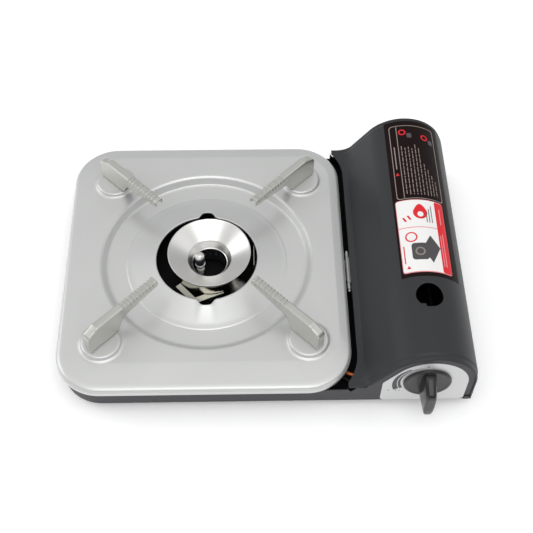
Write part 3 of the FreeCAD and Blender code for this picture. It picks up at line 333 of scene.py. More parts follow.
# ---- Pot supports ------------------------------------------------------------------------------
# Four strips of bright coated steel, folded to an upside-down U.  Ten ribs pressed across the
# top grip the pan; the outer end reaches down to a foot on the seat, and the foot's tabs that go
# through the seat are not built.
support_steel = finish("support_steel", tone(198, 198, 192), 0.33, metal=0.8, vary=0.03,
                       grain=1400, bump=0.008, rough_vary=0.06)
rib_first, rib_last, rib_pitch, rib_depth, rib_pinch = 61.0, 96.0, 3.5, 0.85, 0.7
along = np.unique(np.concatenate([np.linspace(58.5, 98, 222), np.linspace(98, 122.5, 40),
                                  np.linspace(122.5, 134.0, 34)]))
top_line = np.interp(along, [58.5, 58.8, 59.4, 123.0, 124.4, 126.0, 132.2, 133.2, 134.0],
                     [27.4, 28.0, 28.3, 28.3, 27.7, 26.8, 24.3, 23.4, 22.0])
low_line = np.interp(along, [58.5, 60.5, 94.0, 96.5, 98.6, 100.4, 102.4, 104.5, 106.0, 106.6, 134.0],
                     [22.9, 22.1, 17.7, 16.9, 15.0, 11.8, 8.0, 4.9, 3.4, 3.1, 3.1])
rib_share = 0.5 - 0.5 * np.cos((along - rib_first) / rib_pitch * 2 * np.pi)
ribbed = (along > rib_first) & (along < rib_last)
ribs = np.where(ribbed, np.clip(rib_share * 2.0 - 0.5, 0, 1), 0.0)
half_width, bend = 3.8, 1.5
corner = np.linspace(0, np.pi / 2, 6)
wall = np.linspace(0, 1, 12)[:, None]
wall_z = low_line + (top_line - bend - low_line) * wall
left_y = -half_width + rib_pinch * ribs * np.clip((wall_z - (top_line - 4.2)) / 2.0, 0, 1)
bend_y = -(half_width - bend) - (bend - rib_pinch * ribs) * np.cos(corner[1:])[:, None]
bend_z = top_line - bend + (bend - rib_depth * ribs) * np.sin(corner[1:])[:, None]
top_y = np.broadcast_to(np.array([[-1.1], [0.0], [1.1]]), (3, len(along)))
top_z = np.broadcast_to(top_line - rib_depth * ribs, (3, len(along)))
section_y = np.vstack([left_y, bend_y, top_y, -bend_y[::-1], -left_y[::-1]])
section_z = np.vstack([wall_z, bend_z, top_z, bend_z[::-1], wall_z[::-1]])
count, length = section_y.shape
outer_end = [[i, count - 1 - i, count - 2 - i, i + 1] for i in range(count // 2 - 1)]
outer_end.append([count // 2 - 1, count // 2 + 1, count // 2])
strip_faces = grid_faces(count, length) + [[i * length + length - 1 for i in face] for face in outer_end]
for seat_name, degrees in (("back_right", 45), ("back_left", 135), ("front_left", 225),
                           ("front_right", 315)):
    swing = math.radians(degrees)
    strip_x = along * math.cos(swing) - section_y * math.sin(swing)
    strip_y = along * math.sin(swing) + section_y * math.cos(swing)
    strip = from_axis(strip_x, strip_y, plate_z + section_z)
    strip_piece = add_piece("support_strip_" + seat_name, strip, strip_faces, "plate", support_steel,
                            ["pot_support_" + seat_name], 45)
    give_sheet(strip_piece, 1.0)

# ---- Cartridge cover ---------------------------------------------------------------------------
# One sheet of steel bent over the cartridge: an upright right wall, a round dome, a straight
# slope and a narrow flange beside the plate.  Both ends are rolled inwards, and a finger hole
# lets the cartridge be seen.  Semi-matt dark grey paint.
dome_r, dome_x, dome_z = 39.1, 180.9, 38.5
lean_degrees = 54.5
lean = math.radians(lean_degrees)
flange_z, cover_edge, cover_half, cover_foot = 33.2, 125.4, 127.6, 11.0
flare, flare_run, flare_from = 9.0, 27.5, 95.0
sight_x, sight_y, sight_r, sight_bow = 182.5, -67.5, 11.3, 22.0
end_step, end_roll = 0.8, 2.0
cover_paint = finish("cover_paint", tone(49, 50, 52), 0.45, vary=0.04, blotch=9, grain=1600,
                     bump=0.012, rough_vary=0.05, gloss=0.3)
slope_top_x, slope_top_z = dome_x - dome_r * math.sin(lean), dome_z + dome_r * math.cos(lean)
foot_x = slope_top_x - (slope_top_z - flange_z) / math.tan(lean)


def flange_at(y):
    """X of the flange's free edge at each y: straight, an arc that widens it, straight again."""
    past = np.clip(np.abs(y) - flare_from, 0, flare_run)
    arc = (flare_run * flare_run + flare * flare) / (2 * flare)
    return cover_edge - (arc - np.sqrt(arc * arc - past * past))


def cover_profile(y):
    """Outline and normals of the cover at each y, from its right edge over the dome to the flange."""
    x_hole = sight_x + sight_r * np.cos(np.linspace(0, np.pi, 33))
    in_hole = np.degrees(np.arccos((x_hole - dome_x) / dome_r))
    dome = np.concatenate([np.linspace(0, in_hole[0], 24)[:-1], in_hole,
                           np.linspace(in_hole[-1], 90 + lean_degrees, 24)[1:]])
    a = np.radians(dome)
    wall = np.linspace(cover_foot, dome_z, 9)[:-1]
    top = np.array([dome_x + dome_r * np.cos(a[-1]), dome_z + dome_r * np.sin(a[-1])])
    down = np.array([-math.cos(lean), -math.sin(lean)])
    length = (top[1] - flange_z) / math.sin(lean)
    edge = flange_at(y)
    reach = np.minimum(9.0, (foot_x - edge) * 0.92)[:, None]
    slope = np.linspace(0, 1, 14)[1:][None, :] * (length - reach)
    sx, sz = top[0] + slope * down[0], top[1] + slope * down[1]
    t = np.linspace(0, 1, 14)[1:][None, :]
    bx = foot_x - reach * down[0] * (1 - t) ** 2 - reach * t ** 2
    bz = flange_z - reach * down[1] * (1 - t) ** 2
    f = np.linspace(0, 1, 5)[1:][None, :]
    fx = (foot_x - reach) + (edge[:, None] - (foot_x - reach)) * f
    fz = np.full_like(fx, flange_z)
    n = len(y)
    wall_x = np.full((n, len(wall)), dome_x + dome_r)
    px = np.hstack([wall_x, np.tile(dome_x + dome_r * np.cos(a), (n, 1)), sx, bx, fx])
    pz = np.hstack([np.tile(wall, (n, 1)), np.tile(dome_z + dome_r * np.sin(a), (n, 1)), sz, bz, fz])
    tx, tz = np.gradient(px, axis=1), np.gradient(pz, axis=1)
    size = np.hypot(tx, tz)
    return px, pz, tz / size, -tx / size


def cover_inset(y):
    """How far the sheet lies inside the outline: a small step near both ends, then a rolled edge."""
    d = cover_half - np.abs(y)
    u = np.clip((6.2 - d) / 1.4, 0, 1)
    step = end_step * u * u * (3 - 2 * u)
    roll_in = np.clip(end_roll - d, 0, end_roll)
    return step + (end_roll - np.sqrt(np.maximum(end_roll ** 2 - roll_in ** 2, 0.0))) * 0.9


def cover_half_sheet(y_rows, hole_sign):
    """Grid of one part of the cover; its inner rows bow away to one side of the finger hole."""
    px, pz, nx, nz = cover_profile(y_rows)
    gap = np.sqrt(np.maximum(sight_r ** 2 - (px - sight_x) ** 2, 0.0)) * (pz > dome_z)
    nearness = np.clip(1 - np.abs(y_rows - sight_y) / sight_bow, 0, 1)[:, None]
    yy = y_rows[:, None] + hole_sign * gap * nearness ** 1.3
    rises = np.clip((pz - flange_z) / 5.0, 0, 1)
    inset = cover_inset(yy) * np.where(px > dome_x, 1.0, 0.25 + 0.75 * rises)
    from_hole = np.hypot(px - sight_x, yy - sight_y) - sight_r
    inset = inset + 0.25 * np.exp(-(from_hole / 0.9) ** 2) * (pz > dome_z + 20)
    return from_axis(px - nx * inset, yy, pz - nz * inset)


near_end = np.array([0, 0.12, 0.35, 0.7, 1.1, 1.6, 2.1, 2.8, 3.6, 4.3, 4.9, 5.5, 6.1, 6.8, 8.0])
front_rows = np.concatenate([near_end - cover_half, np.linspace(-117, -90, 12),
                             np.linspace(-88.5, sight_y, 15)])
back_rows = np.concatenate([np.linspace(sight_y, -46, 15), np.linspace(-43, 117, 64),
                            (cover_half - near_end)[::-1]])
front_part = cover_half_sheet(front_rows, -1)
back_part = cover_half_sheet(back_rows, 1)
cover_points = np.vstack([front_part.reshape(-1, 3), back_part.reshape(-1, 3)])
cover_faces = grid_faces(*front_part.shape[:2])
cover_faces += grid_faces(*back_part.shape[:2], start=front_part[..., 0].size)
cover_faces = np.array(cover_faces)[:, ::-1].tolist()
cover_shell = add_piece("cover_shell", cover_points, cover_faces, "cover", cover_paint,
                        ["cartridge_cover"], 50)
work = bmesh.new()
work.from_mesh(cover_shell.data)
bmesh.ops.remove_doubles(work, verts=work.verts, dist=0.02 * MM)
work.to_mesh(cover_shell.data)
work.free()
give_sheet(cover_shell, sheet_gauge)

# ---- Label on the cover ------------------------------------------------------------------------
# A thin printed film stuck on the dome.  Its two panels carry only plain frames, bars, rings
# and blocks in place of notices, on a brown-black ground.
label_ink = finish("label_ink", tone(24, 10, 9), 0.5, vary=0.08, grain=1200, bump=0.004, gloss=0.12)
label_white = finish("label_white", tone(246, 245, 243), 0.40, vary=0.01, grain=1200, bump=0.004)
label_red = finish("label_red", tone(228, 10, 28), 0.40, vary=0.03, grain=1200, bump=0.004)
label_pink = finish("label_pink", tone(236, 140, 146), 0.40, vary=0.03, grain=1200, bump=0.004)
label_cream = finish("label_cream", tone(150, 136, 130), 0.42, vary=0.04, grain=1200, bump=0.004)
label_grey = finish("label_grey", tone(74, 72, 74), 0.42, vary=0.05, grain=1200, bump=0.004)
label_paints = [label_ink, label_white, label_red, label_pink, label_cream, label_grey]
INK, WHITE, RED, PINK, CREAM, GREY = range(6)
label_points, label_faces, label_shades = [], [], []


def on_label(across, y, layer):
    """Print coordinates onto the dome: across is the arc length from straight up, towards the plate."""
    a = np.pi / 2 + across / dome_r
    r = dome_r + 0.02 + 0.045 * layer
    return from_axis(dome_x + r * np.cos(a), y, dome_z + r * np.sin(a))


def close_spots(edge_across, edge_y):
    """Points of a closed edge at most 1.2 mm apart, its own corners among them."""
    cx, cy = np.append(edge_across, edge_across[0]), np.append(edge_y, edge_y[0])
    run = np.concatenate([[0], np.cumsum(np.hypot(np.diff(cx), np.diff(cy)))])
    s = np.unique(np.concatenate([run, np.linspace(0, run[-1], int(run[-1] / 1.2) + 2)]).round(6))
    s = s[np.concatenate([[True], np.diff(s) > 0.02])]
    s = s[s < run[-1] - 0.01]
    return np.interp(s, run, cx), np.interp(s, run, cy)


def lay_print(points, shade, closed=False):
    """Keep a grid of print points, its quads and its colour; a closed grid runs round its columns."""
    start = sum(len(p) for p in label_points)
    label_points.append(points.reshape(-1, 3))
    faces = grid_faces(*points.shape[:2], loop_columns=closed, start=start)
    label_faces.extend(faces)
    label_shades.extend([shade] * len(faces))


def print_patch(edge_across, edge_y, layer, shade, inner=0.0, steps=None):
    """Star-shaped patch about its middle: edge points scaled from inner to 1, curved with the dome."""
    across, y = close_spots(np.asarray(edge_across, float), np.asarray(edge_y, float))
    mid = (across.min() + across.max()) / 2, (y.min() + y.max()) / 2
    steps = steps or max(4, int(max(across.max() - mid[0], y.max() - mid[1]) / 2.0) + 2)
    t = np.maximum(np.linspace(inner, 1, steps), 0.002)[:, None]
    lay_print(on_label(mid[0] + (across - mid[0]) * t, mid[1] + (y - mid[1]) * t, layer), shade, True)


def round_box(a0, a1, y0, y1, r, n=6):
    """Edge of a rounded box: four quarter arcs of radius r and the straight runs between them."""
    q = np.linspace(0, np.pi / 2, n)
    cx = np.concatenate([a1 - r + r * np.cos(q), a0 + r + r * np.cos(q + np.pi / 2),
                         a0 + r + r * np.cos(q + np.pi), a1 - r + r * np.cos(q + 1.5 * np.pi)])
    cy = np.concatenate([y1 - r + r * np.sin(q), y1 - r + r * np.sin(q + np.pi / 2),
                         y0 + r + r * np.sin(q + np.pi), y0 + r + r * np.sin(q + 1.5 * np.pi)])
    return close_spots(cx, cy)


def frame_line(a0, a1, y0, y1, r, width, layer, shade):
    """Rounded frame: the box's edge and the same edge moved in by the line's width, joined."""
    out_a, out_y = round_box(a0, a1, y0, y1, r)
    mid = (a0 + a1) / 2, (y0 + y1) / 2
    ka, ky = 1 - 2 * width / (a1 - a0), 1 - 2 * width / (y1 - y0)
    inner_edge = on_label(mid[0] + (out_a - mid[0]) * ka, mid[1] + (out_y - mid[1]) * ky, layer)
    lay_print(np.stack([inner_edge, on_label(out_a, out_y, layer)]), shade, True)


def print_grid(a0, a1, y0, y1, layer, shade):
    """Plain rectangle of the print as a grid that follows the dome."""
    count = max(2, int(abs(a1 - a0) / 1.5) + 2)
    a, y = np.meshgrid(np.linspace(a0, a1, count), np.linspace(y0, y1, 3), indexing="ij")
    lay_print(on_label(a, y, layer), shade)


def across_of(degrees):
    """Arc length across the dome of an angle measured up from the right."""
    return math.radians(degrees - 90) * dome_r


circle = np.linspace(0, 2 * np.pi, 28, endpoint=False)
print_grid(across_of(41), across_of(119), -49.5, 122.5, 0, INK)
frame_line(across_of(50), across_of(113), 31.6, 117.0, 3.0, 0.7, 2, CREAM)
print_grid(across_of(102.6), across_of(103.6), 33.0, 115.6, 2, CREAM)
seeded = np.random.default_rng(7)
for degrees, start_y, end_y in ((99, 92, 36), (94.5, 90, 36), (90, 91, 36), (85.5, 89, 36), (81, 94, 36),
                                (76.5, 90, 36), (71.5, 72, 36), (67, 66, 36), (62.5, 60, 37), (58, 54, 37)):
    y_here = start_y
    while y_here > end_y:
        dash = float(seeded.uniform(2.0, 6.5))
        print_grid(across_of(degrees - 0.5), across_of(degrees + 0.5), max(y_here - dash, end_y), y_here,
                   2, CREAM)
        y_here -= dash + 1.0
for degrees, y_here in ((96.0, 108.5), (66.0, 104.0)):
    print_patch(across_of(degrees) + 3.4 * np.cos(circle), y_here + 3.4 * np.sin(circle), 3, RED,
                inner=0.62, steps=2)
    box = round_box(across_of(degrees) - 8.4, across_of(degrees) - 3.9, y_here - 6.5, y_here - 1.0, 1.2)
    print_patch(*box, 2, GREY)
print_patch(*round_box(across_of(110) - 1.2, across_of(110) + 1.2, 40.0, 62.0, 1.0), 2, INK)
wedge_a, wedge_y = np.array([-1.8, 1.8, 0.0]), np.array([-1.5, -1.5, 1.8])
print_patch(across_of(108.2) + wedge_a, 60.0 + wedge_y, 3, RED)
print_grid(across_of(107.6), across_of(109.0), 66.0, 92.0, 2, CREAM)
print_patch(*round_box(across_of(52.5), across_of(116), -45.5, 30.4, 2.4), 1, PINK)
print_patch(*round_box(across_of(53.0), across_of(115.2), -44.6, 29.8, 2.2), 2, WHITE)
print_patch(*round_box(across_of(53.0), across_of(65.8), -44.6, 29.6, 1.6), 3, RED)
print_grid(across_of(53.2), across_of(115.0), 0.2, 1.0, 3, PINK)
for y0, y1 in ((6.0, 23.0), (-38.0, -4.0)):
    print_grid(across_of(58.6), across_of(60.2), y0, y1, 4, PINK)
print_grid(across_of(62.0), across_of(63.4), -38.0, -6.0, 4, PINK)
drop = 1 + 0.42 * np.exp(-((circle - np.pi / 2) / 0.5) ** 2)
print_patch(across_of(86) + 6.2 * drop * np.cos(circle), 16.0 + 6.6 * drop * np.sin(circle), 3, RED)
print_patch(across_of(86) + 2.6 * np.cos(circle), 14.4 + 2.8 * np.sin(circle), 4, WHITE)
for shift in (0.0, 4.0):
    bar_a = across_of(105) - shift + np.array([-0.9, 0.9, 3.1, 1.3])
    print_patch(bar_a, 7.0 + shift * 0.4 + np.array([0.0, 0.0, 4.6, 4.6]), 3, RED)
for degrees in (71.0, 74.4, 77.8):
    print_grid(across_of(degrees), across_of(degrees + 1.1), 6.0, 24.0 - (degrees - 71), 3, GREY)
print_patch(across_of(101) + 5.2 * np.cos(circle), -9.5 + 5.2 * np.sin(circle), 3, RED, inner=0.76, steps=2)
print_patch(*round_box(across_of(92) - 7.0, across_of(92) + 7.0, -33.0, -16.0, 3.0), 3, GREY)
print_patch(across_of(92) + 4.2 * np.cos(circle), -24.5 + 4.2 * np.sin(circle), 4, CREAM, inner=0.7, steps=2)
print_patch(across_of(77.5) + np.array([0.0, 8.0, 0.0, -8.0]),
            -21.0 + np.array([-15.0, -1.0, 13.0, 1.0]), 3, GREY)
print_grid(across_of(111), across_of(112.4), -36.0, -18.0, 3, RED)
print_patch(across_of(108.2) + wedge_a, -40.0 + wedge_y, 3, RED)


def faced(points, quads, outward):
    """The same quads, each turned so that its normal points along outward at its first corner."""
    quads = np.array(quads)
    p = points[quads]
    normal = np.cross(p[:, 2] - p[:, 0], p[:, 3] - p[:, 1])
    wrong = np.einsum("ij,ij->i", normal, np.broadcast_to(outward, points.shape)[quads[:, 0]]) < 0
    quads[wrong] = quads[wrong][:, ::-1]
    return quads.tolist()


film_points = np.vstack(label_points)
film_outward = film_points - [dome_x + axis_x, 0, dome_z]
film_outward[:, 1] = 0
cover_film = add_piece("cover_film", film_points, faced(film_points, label_faces, film_outward), "cover",
                       label_paints, ["cover_label"])
cover_film.data.polygons.foreach_set("material_index", np.array(label_shades, np.int32))

# ---- Burner head -------------------------------------------------------------------------------
# Turned and polished aluminium funnel.  The flame comes up through its bore, the cone guides it.
# It is one closed turned profile: rim, cone, throat step, bore and the wall underneath.
burner_x = 2.5


def turned(name, outline, centre, body, paint, stands_for=(), steps=160, crease=40.0):
    """Closed outline of (radius, height) carried round an upright axis: x = r cos a, y = r sin a."""
    line = np.asarray(outline, float)
    a = np.linspace(0, 2 * np.pi, steps, endpoint=False)
    r, z = np.maximum(line[:, 0], 0.005)[:, None], line[:, 1][:, None]
    points = from_axis(centre[0] + r * np.cos(a), centre[1] + r * np.sin(a), z)
    area = np.sum(line[:, 0] * np.roll(line[:, 1], -1) - np.roll(line[:, 0], -1) * line[:, 1])
    faces = np.array(grid_faces(len(line), steps, loop_rows=True, loop_columns=True))
    if area < 0:
        faces = faces[:, ::-1]
    return add_piece(name, points, faces.tolist(), body, paint, stands_for, crease)


def closed_soft(corners, reach, steps=5):
    """Closed outline with every corner softened: it starts and ends in the middle of its first run."""
    p = np.asarray(corners, float)
    start = (p[0] + p[1]) / 2
    loop = np.vstack([start, p[1:], p[0], start])
    reach = np.roll(np.broadcast_to(np.asarray(reach, float), (len(p),)), -1)
    return soften(loop, reach, steps)[:-1]


polished = finish("head_aluminium", tone(224, 223, 220), 0.3, metal=1.0, vary=0.015, grain=700,
                  bump=0.004, rough_vary=0.04)
head = [(14.9, 29.4), (14.9, 30.1), (15.7, 30.6), (19.2, 36.6), (21.4, 37.8), (35.2, 46.2), (36.0, 46.4),
        (36.2, 45.6), (35.4, 44.6), (21.6, 34.8), (17.6, 29.8), (17.2, 29.4)]
turned("burner_funnel", closed_soft(head, [0.3, 0.3, 0.3, 0.6, 0.8, 0.5, 0.3, 0.3, 0.3, 0.8, 0.5, 0.3]),
       (burner_x, 0), "base", polished, ["burner_head"], 220, 50)

# ---- Spark electrode ---------------------------------------------------------------------------
# A ceramic post stands inside the bore.  On it sits a metal sleeve with a bright domed cap; the
# sleeve's dark grey is painted shade for the shadow that falls on it in the bore, and a bright
# collar shows below the sleeve.
electrode = (burner_x - 8.8, 2.0)
# painted shade: the sleeve's dark grey stands for the shadow in the bore
electrode_shade_grey = finish("electrode_metal", tone(96, 99, 108), 0.3, metal=0.8, vary=0.05, grain=900,
                        bump=0.004)
ceramic = finish("ceramic", tone(214, 212, 206), 0.32, vary=0.03, grain=1500, bump=0.006)
sleeve = [(0, 25.1), (3.0, 25.1), (3.0, 27.0), (4.3, 28.0), (4.4, 35.2), (0, 35.2)]
turned("electrode_sleeve", closed_soft(sleeve, [0.01, 0.3, 0.3, 0.5, 0.3, 0.01]), electrode, "base",
       electrode_shade_grey, ["spark_electrode"], 48)
cap = [(0, 35.25), (4.2, 35.25), (4.35, 36.8), (3.2, 38.9), (1.4, 39.55), (0, 39.6)]
turned("electrode_cap", closed_soft(cap, [0.01, 0.2, 0.8, 1.0, 0.6, 0.01]), electrode, "base", polished,
       steps=48, crease=70)
collar = [(3.1, 24.9), (4.6, 24.9), (4.7, 26.6), (3.1, 26.9)]
turned("electrode_collar", closed_soft(collar, [0.1, 0.3, 0.4, 0.1]), electrode, "base", polished,
       steps=48)

# ---- Knob --------------------------------------------------------------------------------------
# Moulded black plastic: a thin round disc with a soft rim, and an upright grip across it that
# gets narrower towards the hand.  The real grip has a small dimple near its lower tip, which is not built.
valve_x, valve_z = 178.5, 42.0
knob_y = -127.4
knob_plastic = finish("knob_plastic", tone(35, 35, 37), 0.36, vary=0.05, grain=2200, bump=0.01,
                      rough_vary=0.06)
knob_black = finish("knob_gloss", tone(15, 15, 17), 0.2, vary=0.06, grain=2200, bump=0.006)
disc_corners = [(0, 0), (17.8, 0), (19.3, 0.5), (19.3, 1.6), (18.4, 2.5), (16.6, 2.7), (15.8, 2.35),
                (0, 2.35)]
knob_line = closed_soft(disc_corners, [0.01, 0.5, 0.4, 0.5, 0.5, 0.4, 0.4, 0.01])
a = np.linspace(0, 2 * np.pi, 128, endpoint=False)
disc_r, disc_d = np.maximum(knob_line[:, 0], 0.005)[:, None], knob_line[:, 1][:, None]
disc_points = from_axis(valve_x + disc_r * np.cos(a), knob_y - disc_d, valve_z + disc_r * np.sin(a))
disc_faces = grid_faces(len(knob_line), len(a), loop_rows=True, loop_columns=True)
add_piece("knob_disc", disc_points, disc_faces, "knob", knob_plastic, ["knob"])
grip_start, grip_end = 2.2, 21.1
grip_t = np.array([0.0, 0.12, 0.25, 0.4, 0.55, 0.7, 0.82, 0.9, 0.95, 0.98, 1.0, 1.0, 1.0])
grip_keep = np.array([1, 1, 1, 1, 1, 1, 1, 0.985, 0.965, 0.93, 0.86, 0.5, 0.02])
b = np.linspace(0, 2 * np.pi, 96, endpoint=False)
depth_here = grip_start + (grip_end - grip_start) * grip_t
half_w = (6.1 - 1.8 * grip_t) * grip_keep
low_half, high_half = 18.1 + 0.2 * grip_t, 17.9 - 8.0 * np.clip(grip_t - 0.18, 0, 1) ** 1.3
side_power, tip_power = 2 / 4.2, 2 / 3.0
gx = np.sign(np.cos(b)) * np.abs(np.cos(b)) ** side_power * half_w[:, None]
tall = np.where(np.sin(b) > 0, high_half[:, None], low_half[:, None])
tall = tall * np.minimum(1, grip_keep + 0.02)[:, None]
gz = np.sign(np.sin(b)) * np.abs(np.sin(b)) ** tip_power * tall
grip_points = from_axis(valve_x + gx, knob_y - depth_here[:, None], valve_z + gz)
grip_faces = grid_faces(len(grip_t), len(b), loop_columns=True)
add_piece("knob_grip", grip_points, grip_faces, "knob", knob_black, crease=50)

# ---- Fascia print ------------------------------------------------------------------------------
# Dark print on the silver fascia: a wedge that grows with the flame, split by a bright line, and
# a few small plain dots for the positions.
fascia_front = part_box("fascia_plate")[0][1] / MM - axis_y
print_y = fascia_front - 0.03
fascia_ink = finish("fascia_ink", tone(70, 70, 74), 0.5, vary=0.05, grain=1500, bump=0.004)
ink_points, ink_faces = [], []


def ink_band(centre_x, centre_z, degrees, radii):
    """Band of the print between two radii about a centre; a radius may change with the angle."""
    q = np.radians(degrees)
    points = np.stack([from_axis(centre_x + r * np.cos(q), print_y, centre_z + r * np.sin(q))
                       for r in radii])
    start = sum(len(p) for p in ink_points)
    ink_points.append(points.reshape(-1, 3))
    ink_faces.extend(grid_faces(*points.shape[:2], start=start))


wedge = np.linspace(208, 104, 60)
grow = np.linspace(1, 0, 60)
outer_count = 46
ink_band(valve_x, valve_z, wedge, (21.4, 21.6 + 2.5 * grow))
ink_band(valve_x, valve_z, wedge[:outer_count],
         ((22.4 + 2.3 * grow)[:outer_count], (22.8 + 6.4 * grow)[:outer_count]))
for degrees, r_here, dot in ((95, 22.8, 0.8), (206, 33.0, 0.7), (212, 28.0, 0.7), (216, 26.0, 0.6)):
    ink_band(valve_x + r_here * math.cos(math.radians(degrees)),
             valve_z + r_here * math.sin(math.radians(degrees)), np.linspace(0, 360, 17), (0.01, dot))
mark_points = np.vstack(ink_points)
mark_faces = faced(mark_points, ink_faces, np.array([0.0, -1.0, 0.0]))
add_piece("fascia_marks", mark_points, mark_faces, "base", fascia_ink)

# ---- Pieces that keep their shape --------------------------------------------------------------
# Pressed, turned and bought pieces: each gets its finish, and those given an edge width a small
# softened edge.
body_paint = finish("body_paint", tone(54, 53, 57), 0.45, vary=0.04, blotch=10, grain=1600,
                    bump=0.012, gloss=0.4)
galvanised = finish("galvanised", tone(84, 86, 88), 0.5, metal=0.7, vary=0.10, blotch=70,
                    grain=900, bump=0.01)
rubber = finish("rubber_black", tone(30, 30, 31), 0.75, vary=0.08, grain=1500, bump=0.03, gloss=0.3)
fascia_silver = finish("fascia_silver", tone(212, 212, 212), 0.42, metal=0.35, vary=0.015,
                       grain=1800, bump=0.006)
# partly painted shade: the catch's black plastic also fills the shadow of the gap beside the fascia
catch_plastic = finish("catch_plastic", tone(24, 24, 25), 0.4, vary=0.06, grain=1500, bump=0.01)
screw_steel = finish("screw_steel", tone(176, 176, 174), 0.3, metal=0.95, vary=0.05, grain=1200,
                     bump=0.006)
hinge_steel = finish("hinge_steel", tone(176, 178, 174), 0.3, metal=0.9, vary=0.05, grain=1200,
                     bump=0.008)
burner_steel = finish("burner_steel", tone(190, 188, 182), 0.2, metal=1.0, vary=0.06, blotch=40,
                      grain=800, bump=0.006)
bracket_steel = finish("bracket_steel", tone(222, 220, 208), 0.3, metal=0.55, vary=0.03,
                       grain=900, bump=0.006)
port_steel = finish("port_steel", tone(96, 98, 102), 0.32, metal=0.9, vary=0.08, blotch=60,
                    grain=900, bump=0.008)
tube_steel = finish("tube_steel", tone(150, 150, 148), 0.4, metal=0.9, vary=0.08, blotch=60,
                    grain=900, bump=0.01)
brass = finish("nozzle_brass", tone(206, 168, 92), 0.28, metal=1.0, vary=0.06, blotch=90,
               grain=1200, bump=0.006)
old_brass = finish("old_brass", tone(58, 48, 34), 0.6, metal=0.6, vary=0.08, blotch=90,
                   grain=1200, bump=0.006)
copper = finish("pipe_copper", tone(168, 96, 58), 0.42, metal=1.0, vary=0.08, blotch=90,
                grain=1200, bump=0.006)
heat_aluminium = finish("heat_aluminium", tone(196, 197, 198), 0.34, metal=0.95, vary=0.03,
                        grain=900, bump=0.008)
casting = finish("valve_casting", tone(158, 160, 162), 0.5, metal=0.8, vary=0.06, grain=700,
                 bump=0.04)
magnet_dark = finish("magnet_dark", tone(62, 62, 66), 0.5, metal=0.3, vary=0.08, grain=900,
                     bump=0.02)
igniter_plastic = finish("igniter_plastic", tone(196, 60, 44), 0.4, vary=0.05, grain=1500,
                         bump=0.01)
wire_cover = finish("wire_cover", tone(40, 40, 44), 0.45, vary=0.06, grain=1500, bump=0.01)

kept = [("base_tray", "tray_shell", "base", body_paint, "body_paint", 0.35),
        ("bay_partition", "partition_sheet", "base", galvanised, "galvanised", 0.15),
        ("foot_front_left", "rubber_front_left", "base", rubber, "rubber_black", 0.6),
        ("foot_back_left", "rubber_back_left", "base", rubber, "rubber_black", 0.6),
        ("foot_front_right", "rubber_front_right", "base", rubber, "rubber_black", 0.6),
        ("foot_back_right", "rubber_back_right", "base", rubber, "rubber_black", 0.6),
        ("fascia_plate", "fascia_panel", "base", fascia_silver, "fascia_silver", 0.15),
        # the catch block is partly a real black catch, partly painted shade for the gap's shadow
        ("cover_catch", "catch_block", "base", catch_plastic, "catch_plastic", 0.15),
        ("tray_screws", "tray_screw_heads", "base", screw_steel, "screw_steel", 0.3),
        ("base_hinge_leaf", "hinge_leaf_tray", "base", hinge_steel, "hinge_steel", 0.12),
        ("hinge_pin", "hinge_rod", "base", hinge_steel, "hinge_steel", 0.1),
        ("cover_hinge_leaf", "hinge_leaf_cover", "cover", hinge_steel, "hinge_steel", 0.12),
        ("burner_bowl", "mixing_bowl", "base", burner_steel, "burner_steel", 0.25),
        ("port_ring", "slotted_ring", "base", port_steel, "port_steel", 0.1),
        ("mixing_tube", "gas_air_tube", "base", tube_steel, "tube_steel", 0.2),
        ("gas_nozzle", "nozzle_body", "base", brass, "nozzle_brass", 0.2),
        ("nozzle_bracket", "nozzle_holder", "base", galvanised, "galvanised", 0.2),
        ("gas_pipe", "copper_pipe", "base", copper, "pipe_copper", 0.0),
        ("burner_bracket", "burner_strips", "base", bracket_steel, "burner_steel", 0.2),
        ("electrode_insulator", "ceramic_post", "base", ceramic, "ceramic", 0.3),
        ("electrode_terminal", "wire_shoe", "base", old_brass, "nozzle_brass", 0.2),
        ("heat_strip", "heat_sheet", "base", heat_aluminium, "heat_aluminium", 0.1),
        ("valve_body", "valve_casting_body", "base", casting, "valve_casting", 0.5),
        ("valve_gland", "gland_nut", "base", brass, "nozzle_brass", 0.3),
        ("pipe_nut", "union_nut", "base", brass, "nozzle_brass", 0.3),
        ("regulator_cap", "regulator_lid", "base", casting, "valve_casting", 0.4),
        ("regulator_screws", "regulator_screw_heads", "base", screw_steel, "screw_steel", 0.25),
        ("valve_bracket", "valve_wall", "base", galvanised, "galvanised", 0.15),
        ("magnet_ring", "seat_magnet", "base", magnet_dark, "magnet_dark", 0.4),
        ("cartridge_guide", "guide_finger", "base", galvanised, "screw_steel", 0.2),
        ("inlet_seal", "inlet_rubber", "base", rubber, "rubber_black", 0.2),
        ("cartridge_rails", "rail_pair", "base", galvanised, "galvanised", 0.15),
        ("piezo_igniter", "igniter_block", "base", igniter_plastic, "igniter_plastic", 0.5),
        # the plunger shares the electrode's painted-shade grey
        ("igniter_plunger", "plunger_pin", "plunger", electrode_shade_grey, "electrode_metal", 0.0),
        ("valve_spindle", "spindle_rod", "knob", brass, "nozzle_brass", 0.1),
        ("ignition_cam", "cam_plate", "knob", screw_steel, "screw_steel", 0.2)]
for node, name, body, paint, slot, edge in kept:
    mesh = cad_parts[node].data.copy()
    mesh.name = name
    work = bmesh.new()
    work.from_mesh(mesh)
    bmesh.ops.remove_doubles(work, verts=work.verts, dist=0.000002)
    bmesh.ops.dissolve_limit(work, angle_limit=math.radians(0.3), verts=work.verts, edges=work.edges)
    work.to_mesh(mesh)
    work.free()
    mesh.materials.clear()
    mesh.materials.append(paint)
    mesh.shade_smooth()
    mesh.set_sharp_from_angle(angle=math.radians(32))
    piece = bpy.data.objects.new(name, mesh)
    bpy.context.collection.objects.link(piece)
    if edge:
        softened = piece.modifiers.new("edge", "BEVEL")
        softened.width = edge * MM
        softened.segments = 2
        softened.limit_method = "ANGLE"
        softened.angle_limit = math.radians(40)
        softened.harden_normals = True
    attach(piece, body)
    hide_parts(node)
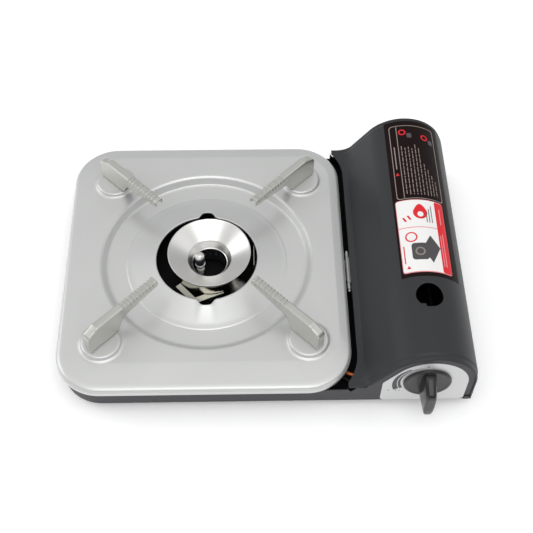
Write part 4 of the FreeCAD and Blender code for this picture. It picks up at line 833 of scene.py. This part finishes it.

# ---- Painted shade inside the tray -------------------------------------------------------------
# The inner walls and the floor of the tray get a matt near-black paint that is painted shade: it
# stands for the deep shade in the voids beside the plate.  The faces that look inwards, or up from
# the floor, take this second paint.
tray_middle_x, floor_below = 15.0, 14.0
# painted shade: a near-black matt paint standing in for the shade in the tray's voids
painted_shade_black = finish("painted_shade_black", tone(20, 20, 21), 0.7, vary=0.06, blotch=12, grain=1500,
                      bump=0.01, gloss=0.15)
tray_mesh = bpy.data.objects["tray_shell"].data
tray_mesh.materials.append(painted_shade_black)
middles, normals = np.empty(len(tray_mesh.polygons) * 3), np.empty(len(tray_mesh.polygons) * 3)
tray_mesh.polygons.foreach_get("center", middles)
tray_mesh.polygons.foreach_get("normal", normals)
middles, normals = middles.reshape(-1, 3) / MM, normals.reshape(-1, 3)
inward = -(middles[:, 0] - tray_middle_x) * normals[:, 0] - middles[:, 1] * normals[:, 1]
inner_wall = (np.abs(normals[:, 2]) < 0.6) & (inward > 0)
inner_floor = (normals[:, 2] > 0.3) & (middles[:, 2] < floor_below)
painted_shade_faces = inner_wall | inner_floor
# the faces in the tray's voids take the painted shade
tray_mesh.polygons.foreach_set("material_index", painted_shade_faces.astype(np.int32))

# ---- Ignition wire -----------------------------------------------------------------------------
# Insulated high-voltage wire from the igniter to the electrode's terminal.  It lies on the
# tray's floor in loose bends and ends inside the terminal's shoe.
wire_z, wire_radius = 10.0, 1.2
wire_line = [(148.35, -119.8, 20.94), (141.4, -119.8, 16.1), (133.5, -117.0, wire_z + 1.2),
             (122.0, -109.5, wire_z), (106.0, -101.5, wire_z), (80.0, -97.0, wire_z),
             (52.0, -84.0, wire_z), (28.0, -66.0, wire_z), (8.0, -44.0, wire_z),
             (burner_x - 8.0, -20.0, wire_z), (burner_x - 8.8, -4.4, wire_z), (burner_x - 8.8, 0.2, wire_z)]
wire_data = bpy.data.curves.new("ignition_lead", "CURVE")
wire_data.dimensions = "3D"
wire_data.bevel_depth = wire_radius * MM
wire_data.bevel_resolution = 4
wire_data.use_fill_caps = True
strand = wire_data.splines.new("NURBS")
strand.points.add(len(wire_line) - 1)
wire_spots = from_axis(*np.array(wire_line).T) * MM
strand.points.foreach_set("co", np.hstack([wire_spots, np.ones((len(wire_line), 1))]).ravel())
strand.order_u = 3
strand.use_endpoint_u = True
strand.resolution_u = 10
wire_data.materials.append(wire_cover)
ignition_lead = bpy.data.objects.new("ignition_lead", wire_data)
bpy.context.collection.objects.link(ignition_lead)
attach(ignition_lead, "base")
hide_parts("ignition_wire")
